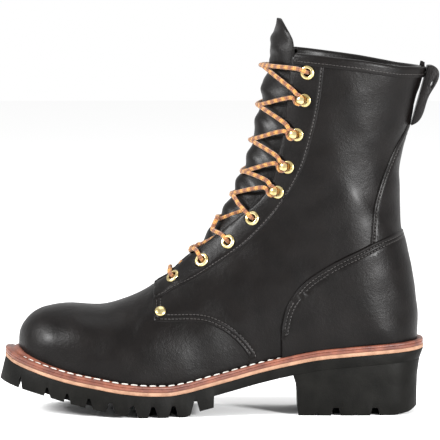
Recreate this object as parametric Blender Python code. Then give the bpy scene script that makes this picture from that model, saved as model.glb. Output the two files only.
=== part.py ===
# Logger boot for the left foot: leather shaft and vamp, storm welt, lugged rubber sole and a high heel.
# X runs from the toe at -X to the heel at +X, Y from the outer side at -Y to the inner side, Z is up.
# The origin is on the floor under the middle of the heel. Lengths are in metres.

import math

import bmesh
import bpy
import numpy as np
from mathutils import Vector

# The last
FORM_LENGTH = 0.2929
HEEL_BACK = 0.0441
BALL_WIDTH = 0.098
INSTEP_HEIGHT = 0.1054
SHAFT_HEIGHT = 0.2205
SHAFT_LENGTH = 0.115
SHAFT_WIDTH = 0.0856
ANKLE_X = -0.020

# The bottom
TOE_SPRING = 0.0248
HEEL_RISE = 0.0324
SLAB = 0.0074
LUG = 0.0080
MIDSOLE = 0.0025
WELT = 0.0042
TOE_REACH = 0.0100
SIDE_REACH = 0.0080
WAIST_REACH = 0.0065
HEEL_SIDE_REACH = 0.0074
HEEL_REACH = 0.0086
TOE_LEAN = 0.0038
SIDE_LEAN = 0.0007
NOTCH_WIDTH = 0.0074
NOTCH_APEX = 0.0022
GROOVE_WIDTH = 0.0042
GROOVE_DEPTH = 0.0060
HEEL_BREAST = -0.0455
HEEL_LEAN = 0.0050
BREAST_LEAN = 0.0039
HEEL_NARROWING = 0.04
HEEL_NOTCH = 0.0057
HEEL_NOTCH_WIDTH = 0.0071
HEEL_BEVEL = 0.0050
INSOLE = 0.0040

# Leather
WALL = 0.0022
QUARTER_STEP = 0.0012
COUNTER = 0.0019
BACKSTAY = 0.0013
TONGUE = 0.0020
BINDING = 0.0014
BINDING_DROP = 0.0058
LOOP_WIDTH = 0.020
LOOP_DROP = 0.0440
LOOP_REACH = 0.0105

# Metal and cord
EYELET_RADIUS = 0.0054
EYELET_BORE = 0.0023
EYELET_BARREL = 0.0031
EYELET_CROWN = 0.0011
HOOK_WIDTH = 0.0094
HOOK_RISE = 0.0048
HOOK_SHEET = 0.0010
RIVET_RADIUS = 0.0042
LACE = 0.0032
DIVE = 0.011

# Clearances: between pieces that touch, between the tongue and the wall, under a metal fitting and round
# a barrel in its hole
GAP = 0.0003
TONGUE_GAP = 0.0009
FITTING_GAP = 0.0006
HOLE_CLEARANCE = 0.0003

# How far the last runs on below the seat, cutters reach past the wall, prisms reach to each side, and how
# far the sole's first and last section stay off its very ends
SINK = 0.008
CUTTER_REACH = 0.012
FAR = 0.09
END_MARGIN = 0.0002

# Points round the last, ring points from the front to the binding's ends, sections along the sole and the
# heel block, points along a level, and sides of a round fitting
RING_POINTS = 28
BINDING_START = 4
OUTLINE_POINTS = 31
HEEL_POINTS = 26
LEVEL_POINTS = 20
ROUND_SIDES = 10

# Top of the rubber. along is a share of FORM_LENGTH from the heel, toe of TOE_SPRING, heel of HEEL_RISE.
SOLE_LINE = (
    # along, toe, heel
    (1.046, 1.080, 0.0),
    (1.031, 1.000, 0.0),
    (1.008, 0.863, 0.0),
    (0.970, 0.706, 0.0),
    (0.919, 0.520, 0.0),
    (0.864, 0.359, 0.0),
    (0.799, 0.218, 0.0),
    (0.731, 0.081, 0.0),
    (0.663, 0.008, 0.0),
    (0.622, 0.0, 0.0),
    (0.574, 0.0, 0.062),
    (0.519, 0.0, 0.185),
    (0.458, 0.0, 0.327),
    (0.390, 0.0, 0.494),
    (0.321, 0.0, 0.639),
    (0.236, 0.0, 0.787),
    (0.151, 0.0, 0.864),
    (0.065, 0.0, 0.926),
    (-0.027, 0.0, 1.0),
)

# Underside of the forefoot lugs, flat on the floor under the ball. rise is a share of TOE_SPRING.
TREAD_LINE = (
    # along, rise
    (1.046, 1.07),
    (1.025, 0.95),
    (0.997, 0.83),
    (0.936, 0.63),
    (0.885, 0.47),
    (0.833, 0.33),
    (0.779, 0.197),
    (0.731, 0.095),
    (0.697, 0.024),
    (0.683, 0.0),
    (0.584, 0.0),
    (0.540, 0.17),
    (0.505, 0.27),
)

# Sections across the foot. along and base are shares of FORM_LENGTH from the heel back to the section's
# top and bottom, rise of INSTEP_HEIGHT above the seat, outer, inner and ridge of BALL_WIDTH. widest is the
# share of the height at the widest place, crown and side are the exponents above and below it.
FOOT_SECTIONS = (
    # along, rise, base, outer, inner, ridge, widest, crown, side
    (1.000, 0.107, 1.000, 0.000, 0.000, 0.082, 0.45, 2.20, 2.6),
    (0.998, 0.180, 0.998, 0.085, 0.082, 0.082, 0.45, 2.20, 2.8),
    (0.992, 0.233, 0.992, 0.158, 0.148, 0.082, 0.43, 2.20, 3.0),
    (0.980, 0.292, 0.980, 0.236, 0.220, 0.082, 0.41, 2.20, 3.2),
    (0.961, 0.360, 0.961, 0.306, 0.288, 0.080, 0.39, 2.20, 3.4),
    (0.934, 0.421, 0.934, 0.366, 0.348, 0.077, 0.37, 2.25, 3.6),
    (0.898, 0.465, 0.898, 0.417, 0.396, 0.071, 0.36, 2.30, 3.8),
    (0.854, 0.498, 0.854, 0.462, 0.439, 0.061, 0.35, 2.35, 4.0),
    (0.799, 0.522, 0.799, 0.496, 0.470, 0.051, 0.34, 2.30, 4.0),
    (0.738, 0.588, 0.738, 0.516, 0.484, 0.041, 0.33, 2.15, 4.0),
    (0.702, 0.640, 0.702, 0.513, 0.476, 0.036, 0.33, 2.05, 4.0),
    (0.663, 0.710, 0.652, 0.500, 0.452, 0.031, 0.33, 1.95, 4.0),
    (0.622, 0.791, 0.574, 0.456, 0.396, 0.020, 0.33, 1.85, 4.0),
    (0.582, 0.903, 0.485, 0.404, 0.352, 0.015, 0.34, 1.80, 4.0),
    (0.541, 0.993, 0.383, 0.362, 0.330, 0.010, 0.37, 1.85, 4.0),
    (0.506, 1.099, 0.273, 0.354, 0.340, 0.005, 0.40, 1.90, 4.0),
    (0.482, 1.186, 0.171, 0.360, 0.356, 0.000, 0.43, 1.95, 4.0),
    (0.463, 1.277, 0.075, 0.363, 0.363, 0.000, 0.45, 2.00, 3.6),
)

# Sections through the shaft. front and back are shares of SHAFT_LENGTH from ANKLE_X, front_up and back_up
# of SHAFT_HEIGHT above the heel seat, outer and inner of SHAFT_WIDTH.
SHAFT_SECTIONS = (
    # front, front_up, back, back_up, outer, inner, widest, crown, side
    (0.578, 0.567, 0.522, -0.034, 0.420, 0.420, 0.47, 2.00, 3.1),
    (0.532, 0.624, 0.556, 0.027, 0.428, 0.428, 0.48, 2.00, 2.6),
    (0.501, 0.676, 0.557, 0.104, 0.437, 0.437, 0.49, 2.00, 2.4),
    (0.482, 0.726, 0.543, 0.172, 0.444, 0.444, 0.50, 2.00, 2.25),
    (0.464, 0.771, 0.523, 0.245, 0.446, 0.446, 0.50, 2.00, 2.15),
    (0.448, 0.812, 0.494, 0.322, 0.446, 0.446, 0.50, 2.00, 2.10),
    (0.432, 0.853, 0.457, 0.399, 0.447, 0.447, 0.50, 2.00, 2.05),
    (0.416, 0.893, 0.449, 0.481, 0.452, 0.452, 0.50, 2.00, 2.05),
    (0.399, 0.934, 0.444, 0.567, 0.459, 0.459, 0.50, 2.00, 2.05),
    (0.385, 0.971, 0.469, 0.653, 0.470, 0.470, 0.50, 2.02, 2.10),
    (0.374, 1.002, 0.505, 0.726, 0.479, 0.479, 0.50, 2.05, 2.10),
    (0.363, 1.039, 0.550, 0.812, 0.488, 0.488, 0.50, 2.05, 2.12),
    (0.353, 1.075, 0.600, 0.907, 0.495, 0.495, 0.50, 2.08, 2.15),
    (0.342, 1.116, 0.648, 1.025, 0.502, 0.502, 0.50, 2.10, 2.15),
)

# Half the gap between the facings, as a share of SHAFT_WIDTH, at each place along the sections.
THROAT = (
    # section, half_gap
    (11.15, 0.075),
    (12.0, 0.085),
    (13.0, 0.105),
    (14.0, 0.135),
    (16.0, 0.215),
    (18.0, 0.275),
    (20.0, 0.315),
    (24.0, 0.345),
    (28.0, 0.355),
    (31.0, 0.360),
)

# Half the tongue's width, as a share of SHAFT_WIDTH, round at its top.
TONGUE_OUTLINE = (
    # section, half_width
    (10.6, 0.18),
    (12.0, 0.25),
    (14.0, 0.30),
    (16.0, 0.36),
    (19.0, 0.40),
    (22.0, 0.41),
    (24.5, 0.39),
    (26.5, 0.362),
    (28.2, 0.352),
    (29.2, 0.33),
    (29.8, 0.28),
    (30.25, 0.20),
    (30.5, 0.10),
)

# The collar's cut edge: along of FORM_LENGTH from the heel back, up of SHAFT_HEIGHT above the heel seat at
# the middle of the boot, lean the rise for each step towards the inner side.
COLLAR_EDGE = (
    # along, up, lean
    (0.500, 1.005, 0.055),
    (0.311, 0.981, 0.041),
    (0.226, 0.968, 0.023),
    (0.138, 0.953, 0.015),
    (0.042, 0.931, 0.014),
    (-0.030, 0.924, 0.0),
    (-0.150, 0.922, 0.0),
)

# Sections between the tongue outline's rows where its surface bends
TONGUE_BENDS = (13.0, 15.0, 17.5, 21.0)

# Edges seen from the side: along of FORM_LENGTH from the heel back, up of SHAFT_HEIGHT above the heel seat
QUARTER_EDGE = (
    # along, up
    (0.648, 0.420),
    (0.655, 0.200),
    (0.657, 0.098),
    (0.652, 0.086),
    (0.603, 0.086),
    (0.537, 0.089),
    (0.492, 0.067),
    (0.459, 0.037),
    (0.434, 0.003),
    (0.418, -0.027),
)
COUNTER_EDGE = (
    # along, up
    (0.337, 0.064),
    (0.329, 0.123),
    (0.309, 0.173),
    (0.284, 0.217),
    (0.247, 0.253),
    (0.198, 0.293),
    (0.135, 0.333),
    (0.102, 0.356),
    (0.065, 0.375),
    (0.030, 0.389),
    (-0.060, 0.410),
)
BACKSTAY_EDGE = (
    # along, up
    (0.116, 0.330),
    (0.109, 0.463),
    (0.091, 0.550),
    (0.064, 0.633),
    (0.029, 0.717),
    (0.016, 0.760),
    (-0.004, 0.840),
    (-0.020, 0.960),
)

# Four low eyelets, four hooks and the top eyelet on each side, from the toe up
EYELET_PLACES = ((0.604, 0.228), (0.532, 0.285), (0.469, 0.348), (0.409, 0.428), (0.270, 0.916))
HOOK_PLACES = ((0.344, 0.518), (0.319, 0.601), (0.297, 0.711), (0.277, 0.827))
RIVET_PLACE = (0.636, 0.120)

# A hook's sheet from its base plate round the neck to its lip: back and width are shares of HOOK_WIDTH,
# rise of HOOK_RISE.
HOOK_PATH = (
    # back, rise, width
    (0.49, 0.0, 0.55),
    (0.23, 0.0, 1.00),
    (-0.21, 0.0, 1.00),
    (-0.45, 0.0, 0.62),
    (-0.55, 0.22, 0.48),
    (-0.55, 0.74, 0.48),
    (-0.45, 0.98, 0.62),
    (-0.19, 1.0, 0.92),
    (0.13, 0.97, 0.92),
    (0.36, 0.92, 0.50),
)

# A rivet's domed head, as shares of RIVET_RADIUS
RIVET_PROFILE = (
    # radius, height
    (1.0, 0.0),
    (1.0, 0.10),
    (0.80, 0.32),
    (0.42, 0.46),
)

# Where the lace crosses the middle of the tongue, as a section, with the places that its strands join
LACE_BAR = 11.9
LACE_CROSSINGS = (13.65, 15.2, 16.7, 18.3, 20.3, 22.9, 26.2)

# The pull loop's strap seen from the side, its outer face and the slot inside the fold. down is a share of
# LOOP_DROP from the rim, out of LOOP_REACH from the binding and the backstay.
LOOP_FACE = (
    # down, out
    (0.00, 0.00),
    (-0.01, 0.30),
    (0.03, 0.70),
    (0.12, 0.97),
    (0.24, 1.00),
    (0.36, 0.86),
    (0.48, 0.66),
    (0.62, 0.60),
    (0.76, 0.62),
    (0.88, 0.55),
    (0.96, 0.35),
    (1.00, 0.00),
)
LOOP_SLOT = (
    # down, out
    (0.20, 0.40),
    (0.20, 0.62),
    (0.32, 0.56),
    (0.44, 0.34),
    (0.40, 0.26),
)

# Forefoot notches: place along FORM_LENGTH and share of the full notch width
NOTCHES = (
    # along, width
    (0.991, 0.35),
    (0.922, 0.65),
    (0.871, 0.70),
    (0.816, 0.80),
    (0.762, 0.95),
    (0.707, 1.0),
    (0.656, 1.0),
    (0.605, 1.0),
    (0.550, 0.90),
)
LUG_END = 0.505
TOE_LEAN_START = 0.88
GROOVE_START = 0.985
GROOVE_PLACES = (0.34, 0.66)
HEEL_NOTCHES = (-0.0141, 0.0148)

# The heel block's rings from its top to the floor: share of the height, of HEEL_LEAN and of BREAST_LEAN
HEEL_RINGS = (
    # down, back, breast
    (0.0, 0.55, 0.0),
    (0.30, 0.88, 0.70),
    (1.0, 1.0, 1.0),
)

# The bevel under the back of the heel: distance ahead of the sole's end, share of HEEL_BEVEL
HEEL_BEVEL_LINE = (
    # ahead, up
    (0.023, -0.02),
    (0.011, 0.4),
    (0.003, 1.2),
    (-0.010, 3.0),
)

LEATHER = (0.012, 0.011, 0.011)
RUBBER = (0.014, 0.014, 0.013)
WELT_BROWN = (0.30, 0.085, 0.045)
MIDSOLE_TAN = (0.62, 0.38, 0.24)
BRASS = (0.75, 0.52, 0.22)
CORD = (0.62, 0.27, 0.05)


def interpolate(keys, rows, at):
    """A monotone cubic through the rows of a table, so that level stretches stay level."""
    keys = np.asarray(keys, float)
    rows = np.asarray(rows, float).reshape(len(keys), -1)
    at = np.atleast_1d(np.asarray(at, float))
    step = np.diff(keys)[:, None]
    slope = np.diff(rows, axis=0) / step
    left, right = slope[:-1], slope[1:]
    together = left * right
    safe = np.where(together > 0, left + right, 1.0)
    tangent = np.zeros_like(rows)
    tangent[1:-1] = np.where(together > 0, 2 * together / safe, 0.0)
    tangent[0], tangent[-1] = slope[0], slope[-1]
    low = np.clip(np.searchsorted(keys, at, side="right") - 1, 0, len(keys) - 2)
    part = ((at - keys[low]) / step[low, 0])[:, None]
    part = np.clip(part, 0.0, 1.0)
    square, cube = part**2, part**3
    return (
        (2 * cube - 3 * square + 1) * rows[low]
        + (cube - 2 * square + part) * step[low] * tangent[low]
        + (3 * square - 2 * cube) * rows[low + 1]
        + (cube - square) * step[low] * tangent[low + 1]
    )


def table(rows, at):
    """Reads a table by its first column, whichever way that column runs."""
    rows = np.asarray(rows, float)
    if rows[0, 0] > rows[-1, 0]:
        rows = rows[::-1]
    return interpolate(rows[:, 0], rows[:, 1:], at)


def along_to_x(along):
    return HEEL_BACK - along * FORM_LENGTH


def x_to_along(x):
    return (HEEL_BACK - np.asarray(x, float)) / FORM_LENGTH


def rubber_top(x):
    shares = table(SOLE_LINE, x_to_along(x))
    return SLAB + LUG + shares[:, 0] * TOE_SPRING + shares[:, 1] * HEEL_RISE


def tread(x):
    return table(TREAD_LINE, x_to_along(x))[:, 0] * TOE_SPRING


def seat(x):
    """Top of the midsole, where the upper and the welt stand."""
    return rubber_top(x) + GAP + MIDSOLE


def welt_top(x):
    return seat(x) + GAP + WELT


HEEL_SEAT = float(seat(HEEL_BACK)[0])


def section_rows():
    """Both section tables in metres: top x, z, bottom x, z, outer, inner, ridge, widest, crown and side."""
    rows = []
    for along, rise, base, outer, inner, ridge, widest, crown, side in FOOT_SECTIONS:
        top_x, bottom_x = along_to_x(along), along_to_x(base)
        top_z = seat(top_x)[0] + rise * INSTEP_HEIGHT
        bottom_z = top_z if outer == 0 else seat(bottom_x)[0] - SINK
        widths = [outer * BALL_WIDTH, inner * BALL_WIDTH, ridge * BALL_WIDTH]
        rows.append([top_x, top_z, bottom_x, bottom_z, *widths, widest, crown, side])
    for front, front_up, back, back_up, outer, inner, widest, crown, side in SHAFT_SECTIONS:
        top_x, bottom_x = ANKLE_X - front * SHAFT_LENGTH, ANKLE_X + back * SHAFT_LENGTH
        top_z, bottom_z = HEEL_SEAT + front_up * SHAFT_HEIGHT, HEEL_SEAT + back_up * SHAFT_HEIGHT
        widths = [outer * SHAFT_WIDTH, inner * SHAFT_WIDTH, 0.0]
        rows.append([top_x, top_z, bottom_x, bottom_z, *widths, widest, crown, side])
    return np.array(rows)


SECTION_ROWS = section_rows()
LAST_SECTION = len(SECTION_ROWS) - 1
TOP = math.pi / 2


def form_point(section, angle):
    """Points of the last at a place along the sections and an angle round: 0 inner side, TOP the front."""
    section, angle = np.broadcast_arrays(np.atleast_1d(section), np.atleast_1d(angle))
    rows = interpolate(np.arange(LAST_SECTION + 1), SECTION_ROWS, section.ravel())
    top, bottom = rows[:, 0:2], rows[:, 2:4]
    outer, inner, ridge, widest, crown, side = rows[:, 4:].T
    cosine, sine = np.cos(angle.ravel()), np.sin(angle.ravel())
    power = 2.0 / np.where(sine >= 0, crown, side)
    across = np.where(cosine >= 0, inner, -outer) * np.abs(cosine) ** power
    share = widest + np.where(sine >= 0, 1 - widest, -widest) * np.abs(sine) ** power
    place = bottom + (top - bottom) * share[:, None]
    return np.stack([place[:, 0], ridge + across, place[:, 1]], axis=1).reshape(section.shape + (3,))


def form_normal(section, angle, step=0.02):
    """Outward unit normals, from neighbouring points."""
    section, angle = np.broadcast_arrays(np.atleast_1d(section), np.atleast_1d(angle))
    later = np.minimum(section + step, LAST_SECTION)
    earlier = np.maximum(section - step, 0.0)
    along = form_point(later, angle) - form_point(earlier, angle)
    round_ = form_point(section, angle + step) - form_point(section, angle - step)
    normal = np.cross(round_, along)
    length = np.linalg.norm(normal, axis=-1, keepdims=True)
    return np.where(length > 0, normal / np.where(length > 0, length, 1), np.array([-1.0, 0.0, 0.0]))


def surface(section, angle, offset):
    """Points at a distance outside the last, or inside it where the distance is negative."""
    return form_point(section, angle) + form_normal(section, angle) * offset


def width_angle(section, half):
    """The angle from the front at which a section is this far out, above its widest place."""
    rows = interpolate(np.arange(LAST_SECTION + 1), SECTION_ROWS, section)[0]
    width, crown = (rows[4] + rows[5]) / 2, rows[8]
    share = min(abs(half) / width, 0.999)
    return math.asin(share ** (crown / 2))


def material(name, colour, roughness, metallic=0.0):
    made = bpy.data.materials.new(name)
    made.use_nodes = True
    shader = made.node_tree.nodes["Principled BSDF"]
    shader.inputs["Base Color"].default_value = (*colour, 1.0)
    shader.inputs["Roughness"].default_value = roughness
    shader.inputs["Metallic"].default_value = metallic
    return made


def add_object(name, vertices, faces):
    """A mesh object with its faces turned outwards."""
    mesh = bpy.data.meshes.new(name)
    shape = bmesh.new()
    corners = [shape.verts.new(Vector(vertex)) for vertex in vertices]
    for face in faces:
        shape.faces.new([corners[index] for index in face])
    bmesh.ops.recalc_face_normals(shape, faces=shape.faces)
    shape.to_mesh(mesh)
    shape.free()
    made = bpy.data.objects.new(name, mesh)
    bpy.context.scene.collection.objects.link(made)
    return made


def combine(body, tool, operation):
    """Applies a Boolean of the tool to the body and removes the tool."""
    modifier = body.modifiers.new(operation.lower(), "BOOLEAN")
    modifier.operation = operation
    modifier.object = tool
    bpy.context.view_layer.update()
    graph = bpy.context.evaluated_depsgraph_get()
    mesh = bpy.data.meshes.new_from_object(body.evaluated_get(graph))
    body.modifiers.clear()
    old = body.data
    body.data = mesh
    bpy.data.meshes.remove(old)
    bpy.data.objects.remove(tool)
    return body


def finish(body, name, surface_material, sharp=35.0):
    body.name = name
    body.data.name = name
    body.data.materials.clear()
    body.data.materials.append(surface_material)
    body.data.shade_smooth()
    body.data.set_sharp_from_angle(angle=math.radians(sharp))
    return body


def ring_faces(rings, points, first=0):
    """Quads between rings that each have this many points."""
    faces = []
    for ring in range(rings - 1):
        for point in range(points):
            after = (point + 1) % points
            low, high = first + ring * points, first + (ring + 1) * points
            faces.append((low + point, low + after, high + after, high + point))
    return faces


def closed_form(name, offset):
    """The whole last as a closed solid, grown by the offset."""
    angles = np.arange(RING_POINTS) * 2 * math.pi / RING_POINTS + TOP
    sections = np.arange(1, LAST_SECTION + 1)
    points = [surface(section, angles, offset) for section in sections]
    pole = form_point(0.0, TOP)[0] + np.array([-offset, 0.0, 0.0])
    vertices = [tuple(point) for ring in points for point in ring] + [tuple(pole)]
    faces = ring_faces(len(sections), RING_POINTS)
    last = (len(sections) - 1) * RING_POINTS
    faces += [(len(vertices) - 1, point, (point + 1) % RING_POINTS) for point in range(RING_POINTS)]
    faces.append(tuple(last + point for point in range(RING_POINTS)))
    return add_object(name, vertices, faces)


def side_prism(name, outline, low=-FAR, high=FAR):
    """An outline seen from the side, as points of x and z, drawn out from one y to another."""
    count = len(outline)
    vertices = [(x, y, z) for y in (low, high) for x, z in outline]
    ends = [tuple(range(count)), tuple(range(count, 2 * count))]
    return add_object(name, vertices, ring_faces(2, count) + ends)


def side_points(rows):
    return [(along_to_x(row[0]), HEEL_SEAT + row[1] * SHAFT_HEIGHT) for row in rows]


def level_line(level, start, end, count, rise=0.0):
    """Points of a level such as the seat, between two x."""
    places = np.linspace(start, end, count)
    return [(float(x), float(z) + rise) for x, z in zip(places, level(places))]


def feather_outline():
    """Where the last meets the seat, seen from above: x and y, from the toe round the outer side and back."""
    sections = np.concatenate([np.linspace(0.05, 2.0, 40), np.linspace(2.0, 20.0, 180)[1:]])
    sides = []
    for first, last in ((TOP, 3 * TOP), (TOP, -TOP)):
        angles = np.linspace(first, last, 120)
        crossings = []
        for section in sections:
            points = form_point(section, angles)
            height = points[:, 2] - seat(points[:, 0])
            under = np.nonzero((height[:-1] > 0) & (height[1:] <= 0))[0]
            if len(under) == 0:
                continue
            index = under[-1]
            share = height[index] / (height[index] - height[index + 1])
            crossings.append(points[index] + share * (points[index + 1] - points[index]))
        sides.append(np.array(crossings)[:, :2])
    return np.concatenate([sides[0], sides[1][::-1]])


def grow_outline(outline, reach):
    """Moves each point of a closed outline outwards by its own reach."""
    tangent = np.roll(outline, -1, axis=0) - np.roll(outline, 1, axis=0)
    normal = np.stack([tangent[:, 1], -tangent[:, 0]], axis=1)
    normal /= np.linalg.norm(normal, axis=1, keepdims=True)
    centre = outline.mean(axis=0)
    if ((outline - centre) * normal).sum() < 0:
        normal = -normal
    return outline + normal * reach[:, None]


REACHES = (
    # along, reach
    (0.0, HEEL_REACH),
    (0.12, HEEL_SIDE_REACH),
    (0.36, WAIST_REACH),
    (0.55, WAIST_REACH),
    (0.72, SIDE_REACH),
    (1.0, TOE_REACH),
)
FEATHER = feather_outline()
SOLE = grow_outline(FEATHER, table(REACHES, x_to_along(FEATHER[:, 0]))[:, 0])
SOLE_TOE, SOLE_HEEL = float(SOLE[:, 0].min()), float(SOLE[:, 0].max())


def sole_sides(x):
    """The y of the sole's outer and inner edge at an x."""
    split = [int(SOLE[:, 0].argmin()), int(SOLE[:, 0].argmax())]
    first, second = min(split), max(split)
    halves = [SOLE[first : second + 1], np.concatenate([SOLE[second:], SOLE[: first + 1]])]
    found = []
    for half in halves:
        order = np.argsort(half[:, 0])
        found.append(float(np.interp(x, half[order, 0], half[order, 1])))
    return min(found), max(found)


def stations(start, end, count):
    """Places along x that crowd towards both ends, so that round ends stay round."""
    turn = np.linspace(0.0, math.pi, count)
    return start + (end - start) * (1 - np.cos(turn)) / 2


def plate(name, places, low, high):
    """A plate with the sole's outline: a loft of sections across the sole, each with its own two levels."""
    vertices = []
    for x in places:
        outer, inner = sole_sides(x)
        bottom, top = float(low(x)), float(high(x))
        vertices += [(x, inner, bottom), (x, inner, top), (x, outer, top), (x, outer, bottom)]
    last = len(vertices) - 4
    ends = [(0, 1, 2, 3), (last, last + 1, last + 2, last + 3)]
    return add_object(name, vertices, ring_faces(len(places), 4) + ends)


def make_upper(leather):
    """Vamp and quarters in one wall, open at the collar, the throat, the eyelets and underneath."""
    upper = closed_form("upper", 0.0)
    quarter = closed_form("quarter", QUARTER_STEP)
    edge = side_points(QUARTER_EDGE)
    behind, above = HEEL_BACK + CUTTER_REACH, 2 * SHAFT_HEIGHT
    outline = edge + level_line(welt_top, edge[-1][0], behind, LEVEL_POINTS // 2, GAP)
    outline += [(behind, above), (edge[0][0], above)]
    combine(quarter, side_prism("quarter_prism", outline), "INTERSECT")
    combine(upper, quarter, "UNION")
    combine(upper, closed_form("inside", -WALL), "DIFFERENCE")
    ahead = along_to_x(1.0) - CUTTER_REACH
    ground = level_line(seat, ahead, behind, LEVEL_POINTS, GAP) + [(behind, -FAR), (ahead, -FAR)]
    combine(upper, side_prism("ground", ground), "DIFFERENCE")
    combine(upper, above_collar(), "DIFFERENCE")
    combine(upper, throat_wedge(), "DIFFERENCE")
    combine(upper, eyelet_drills(), "DIFFERENCE")
    return finish(upper, "upper", leather)


def above_collar():
    """Everything above the collar's cut edge, which climbs towards the inner side."""
    edge = side_points(COLLAR_EDGE)
    vertices = []
    for y in (-FAR, FAR):
        vertices += [(x, y, z + row[2] * y) for (x, z), row in zip(edge, COLLAR_EDGE)]
        vertices += [(edge[-1][0], y, 2 * SHAFT_HEIGHT), (edge[0][0], y, 2 * SHAFT_HEIGHT)]
    count = len(vertices) // 2
    ends = [tuple(range(count)), tuple(range(count, 2 * count))]
    return add_object("above_collar", vertices, ring_faces(2, count) + ends)


def throat_wedge():
    """The opening between the facings, from inside the tongue to well outside, square to the surface."""
    foot = THROAT[0][0]
    places = [foot] + [float(place) for place in range(math.ceil(foot), LAST_SECTION + 1)]
    rings = []
    for place in places:
        half = table(THROAT, place)[0, 0] * SHAFT_WIDTH
        spread = width_angle(place, half)
        angles = np.array([TOP - spread, TOP - spread / 2, TOP, TOP + spread / 2, TOP + spread])
        outside = surface(place, angles, CUTTER_REACH)
        inside = surface(place, angles[::-1], -CUTTER_REACH)
        rings.append([tuple(point) for point in np.concatenate([outside, inside])])
    points = len(rings[0])
    vertices = [vertex for ring in rings for vertex in ring]
    faces = ring_faces(len(rings), points)
    faces.append(tuple(range(points)))
    faces.append(tuple(len(vertices) - points + point for point in range(points)))
    return add_object("throat_wedge", vertices, faces)


def surface_place(along, up):
    """The section and angle of the outer side's point that the side view shows at this place."""
    target = np.array([along_to_x(along), HEEL_SEAT + up * SHAFT_HEIGHT])
    sections = np.linspace(8.0, LAST_SECTION, 240)
    angles = np.linspace(TOP + 0.02, math.pi, 120)
    grid = form_point(*np.meshgrid(sections, angles, indexing="ij"))
    distance = np.hypot(grid[..., 0] - target[0], grid[..., 2] - target[1])
    row, column = np.unravel_index(distance.argmin(), distance.shape)
    return float(sections[row]), float(angles[column])


def seat_on_side(place, side, offset):
    """The point, outward normal and upward tangent for a fitting on one side of the boot."""
    section, angle = surface_place(*place)
    if side == "inner":
        angle = math.pi - angle
    point = Vector(surface(section, angle, offset)[0])
    normal = Vector(form_normal(section, angle)[0])
    upward = Vector(surface(section + 0.3, angle, offset)[0]) - point
    upward = (upward - upward.dot(normal) * normal).normalized()
    return point, normal, upward


def turned(name, profile, point, normal, upward):
    """A closed profile of radius and height, turned about the normal."""
    sideways = normal.cross(upward)
    vertices = []
    for segment in range(ROUND_SIDES):
        turn = 2 * math.pi * segment / ROUND_SIDES
        spoke = math.cos(turn) * upward + math.sin(turn) * sideways
        vertices += [tuple(point + spoke * radius + normal * height) for radius, height in profile]
    count = len(profile)
    faces = []
    for segment in range(ROUND_SIDES):
        low, high = segment * count, (segment + 1) % ROUND_SIDES * count
        for index in range(count):
            after = (index + 1) % count
            faces.append((low + index, low + after, high + after, high + index))
    return add_object(name, vertices, faces)


def stacked(name, rows, point, normal, upward):
    """A solid of revolution with flat ends, from rows of radius and height."""
    sideways = normal.cross(upward)
    vertices = []
    for radius, height in rows:
        for segment in range(ROUND_SIDES):
            turn = 2 * math.pi * segment / ROUND_SIDES
            spoke = math.cos(turn) * upward + math.sin(turn) * sideways
            vertices.append(tuple(point + spoke * radius + normal * height))
    last = len(vertices) - ROUND_SIDES
    ends = [tuple(range(ROUND_SIDES)), tuple(range(last, last + ROUND_SIDES))]
    return add_object(name, vertices, ring_faces(len(rows), ROUND_SIDES) + ends)


def join_all(objects):
    """One mesh object from several that don't touch."""
    shape = bmesh.new()
    for made in objects:
        shape.from_mesh(made.data)
    mesh = bpy.data.meshes.new("joined")
    shape.to_mesh(mesh)
    shape.free()
    for made in objects:
        bpy.data.objects.remove(made)
    joined = bpy.data.objects.new("joined", mesh)
    bpy.context.scene.collection.objects.link(joined)
    return joined


def eyelet_drills():
    radius = EYELET_BARREL + HOLE_CLEARANCE
    drills = []
    for place in EYELET_PLACES:
        for side in ("outer", "inner"):
            seated = seat_on_side(place, side, QUARTER_STEP)
            rows = ((radius, -CUTTER_REACH / 2), (radius, CUTTER_REACH / 2))
            drills.append(stacked("drill", rows, *seated))
    return join_all(drills)


def make_eyelets(brass):
    profile = (
        (EYELET_BORE, -WALL),
        (EYELET_BARREL, -WALL),
        (EYELET_BARREL, FITTING_GAP),
        (EYELET_RADIUS, FITTING_GAP),
        (EYELET_BARREL, FITTING_GAP + EYELET_CROWN),
    )
    for side in ("outer", "inner"):
        for number, place in enumerate(EYELET_PLACES, 1):
            seated = seat_on_side(place, side, QUARTER_STEP)
            eyelet = turned("eyelet", profile, *seated)
            finish(eyelet, f"eyelet_{side}_{number}", brass)


def make_hooks(brass):
    """Sheet hooks: a base plate, a narrow neck on the throat side and a wide lip that opens backwards."""
    for side in ("outer", "inner"):
        for number, place in enumerate(HOOK_PLACES, 1):
            point, normal, upward = seat_on_side(place, side, QUARTER_STEP + GAP + HOOK_SHEET / 2)
            back = normal.cross(upward)
            if back.x < 0:
                back = -back
            path = [point + back * row[0] * HOOK_WIDTH + normal * row[1] * HOOK_RISE for row in HOOK_PATH]
            widths = [row[2] * HOOK_WIDTH / 2 for row in HOOK_PATH]
            hook = strip("hook", path, widths, HOOK_SHEET, upward)
            finish(hook, f"hook_{side}_{number}", brass)


def strip(name, path, halves, thickness, across):
    """A flat strip along a path, with a half width at each point."""
    vertices = []
    for index, point in enumerate(path):
        before, after = path[max(index - 1, 0)], path[min(index + 1, len(path) - 1)]
        normal = (after - before).cross(across).normalized()
        for wide, thick in ((-1, -1), (1, -1), (1, 1), (-1, 1)):
            vertices.append(tuple(point + across * wide * halves[index] + normal * thick * thickness / 2))
    last = 4 * (len(path) - 1)
    faces = ring_faces(len(path), 4) + [(0, 1, 2, 3), (last, last + 1, last + 2, last + 3)]
    return add_object(name, vertices, faces)


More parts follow.
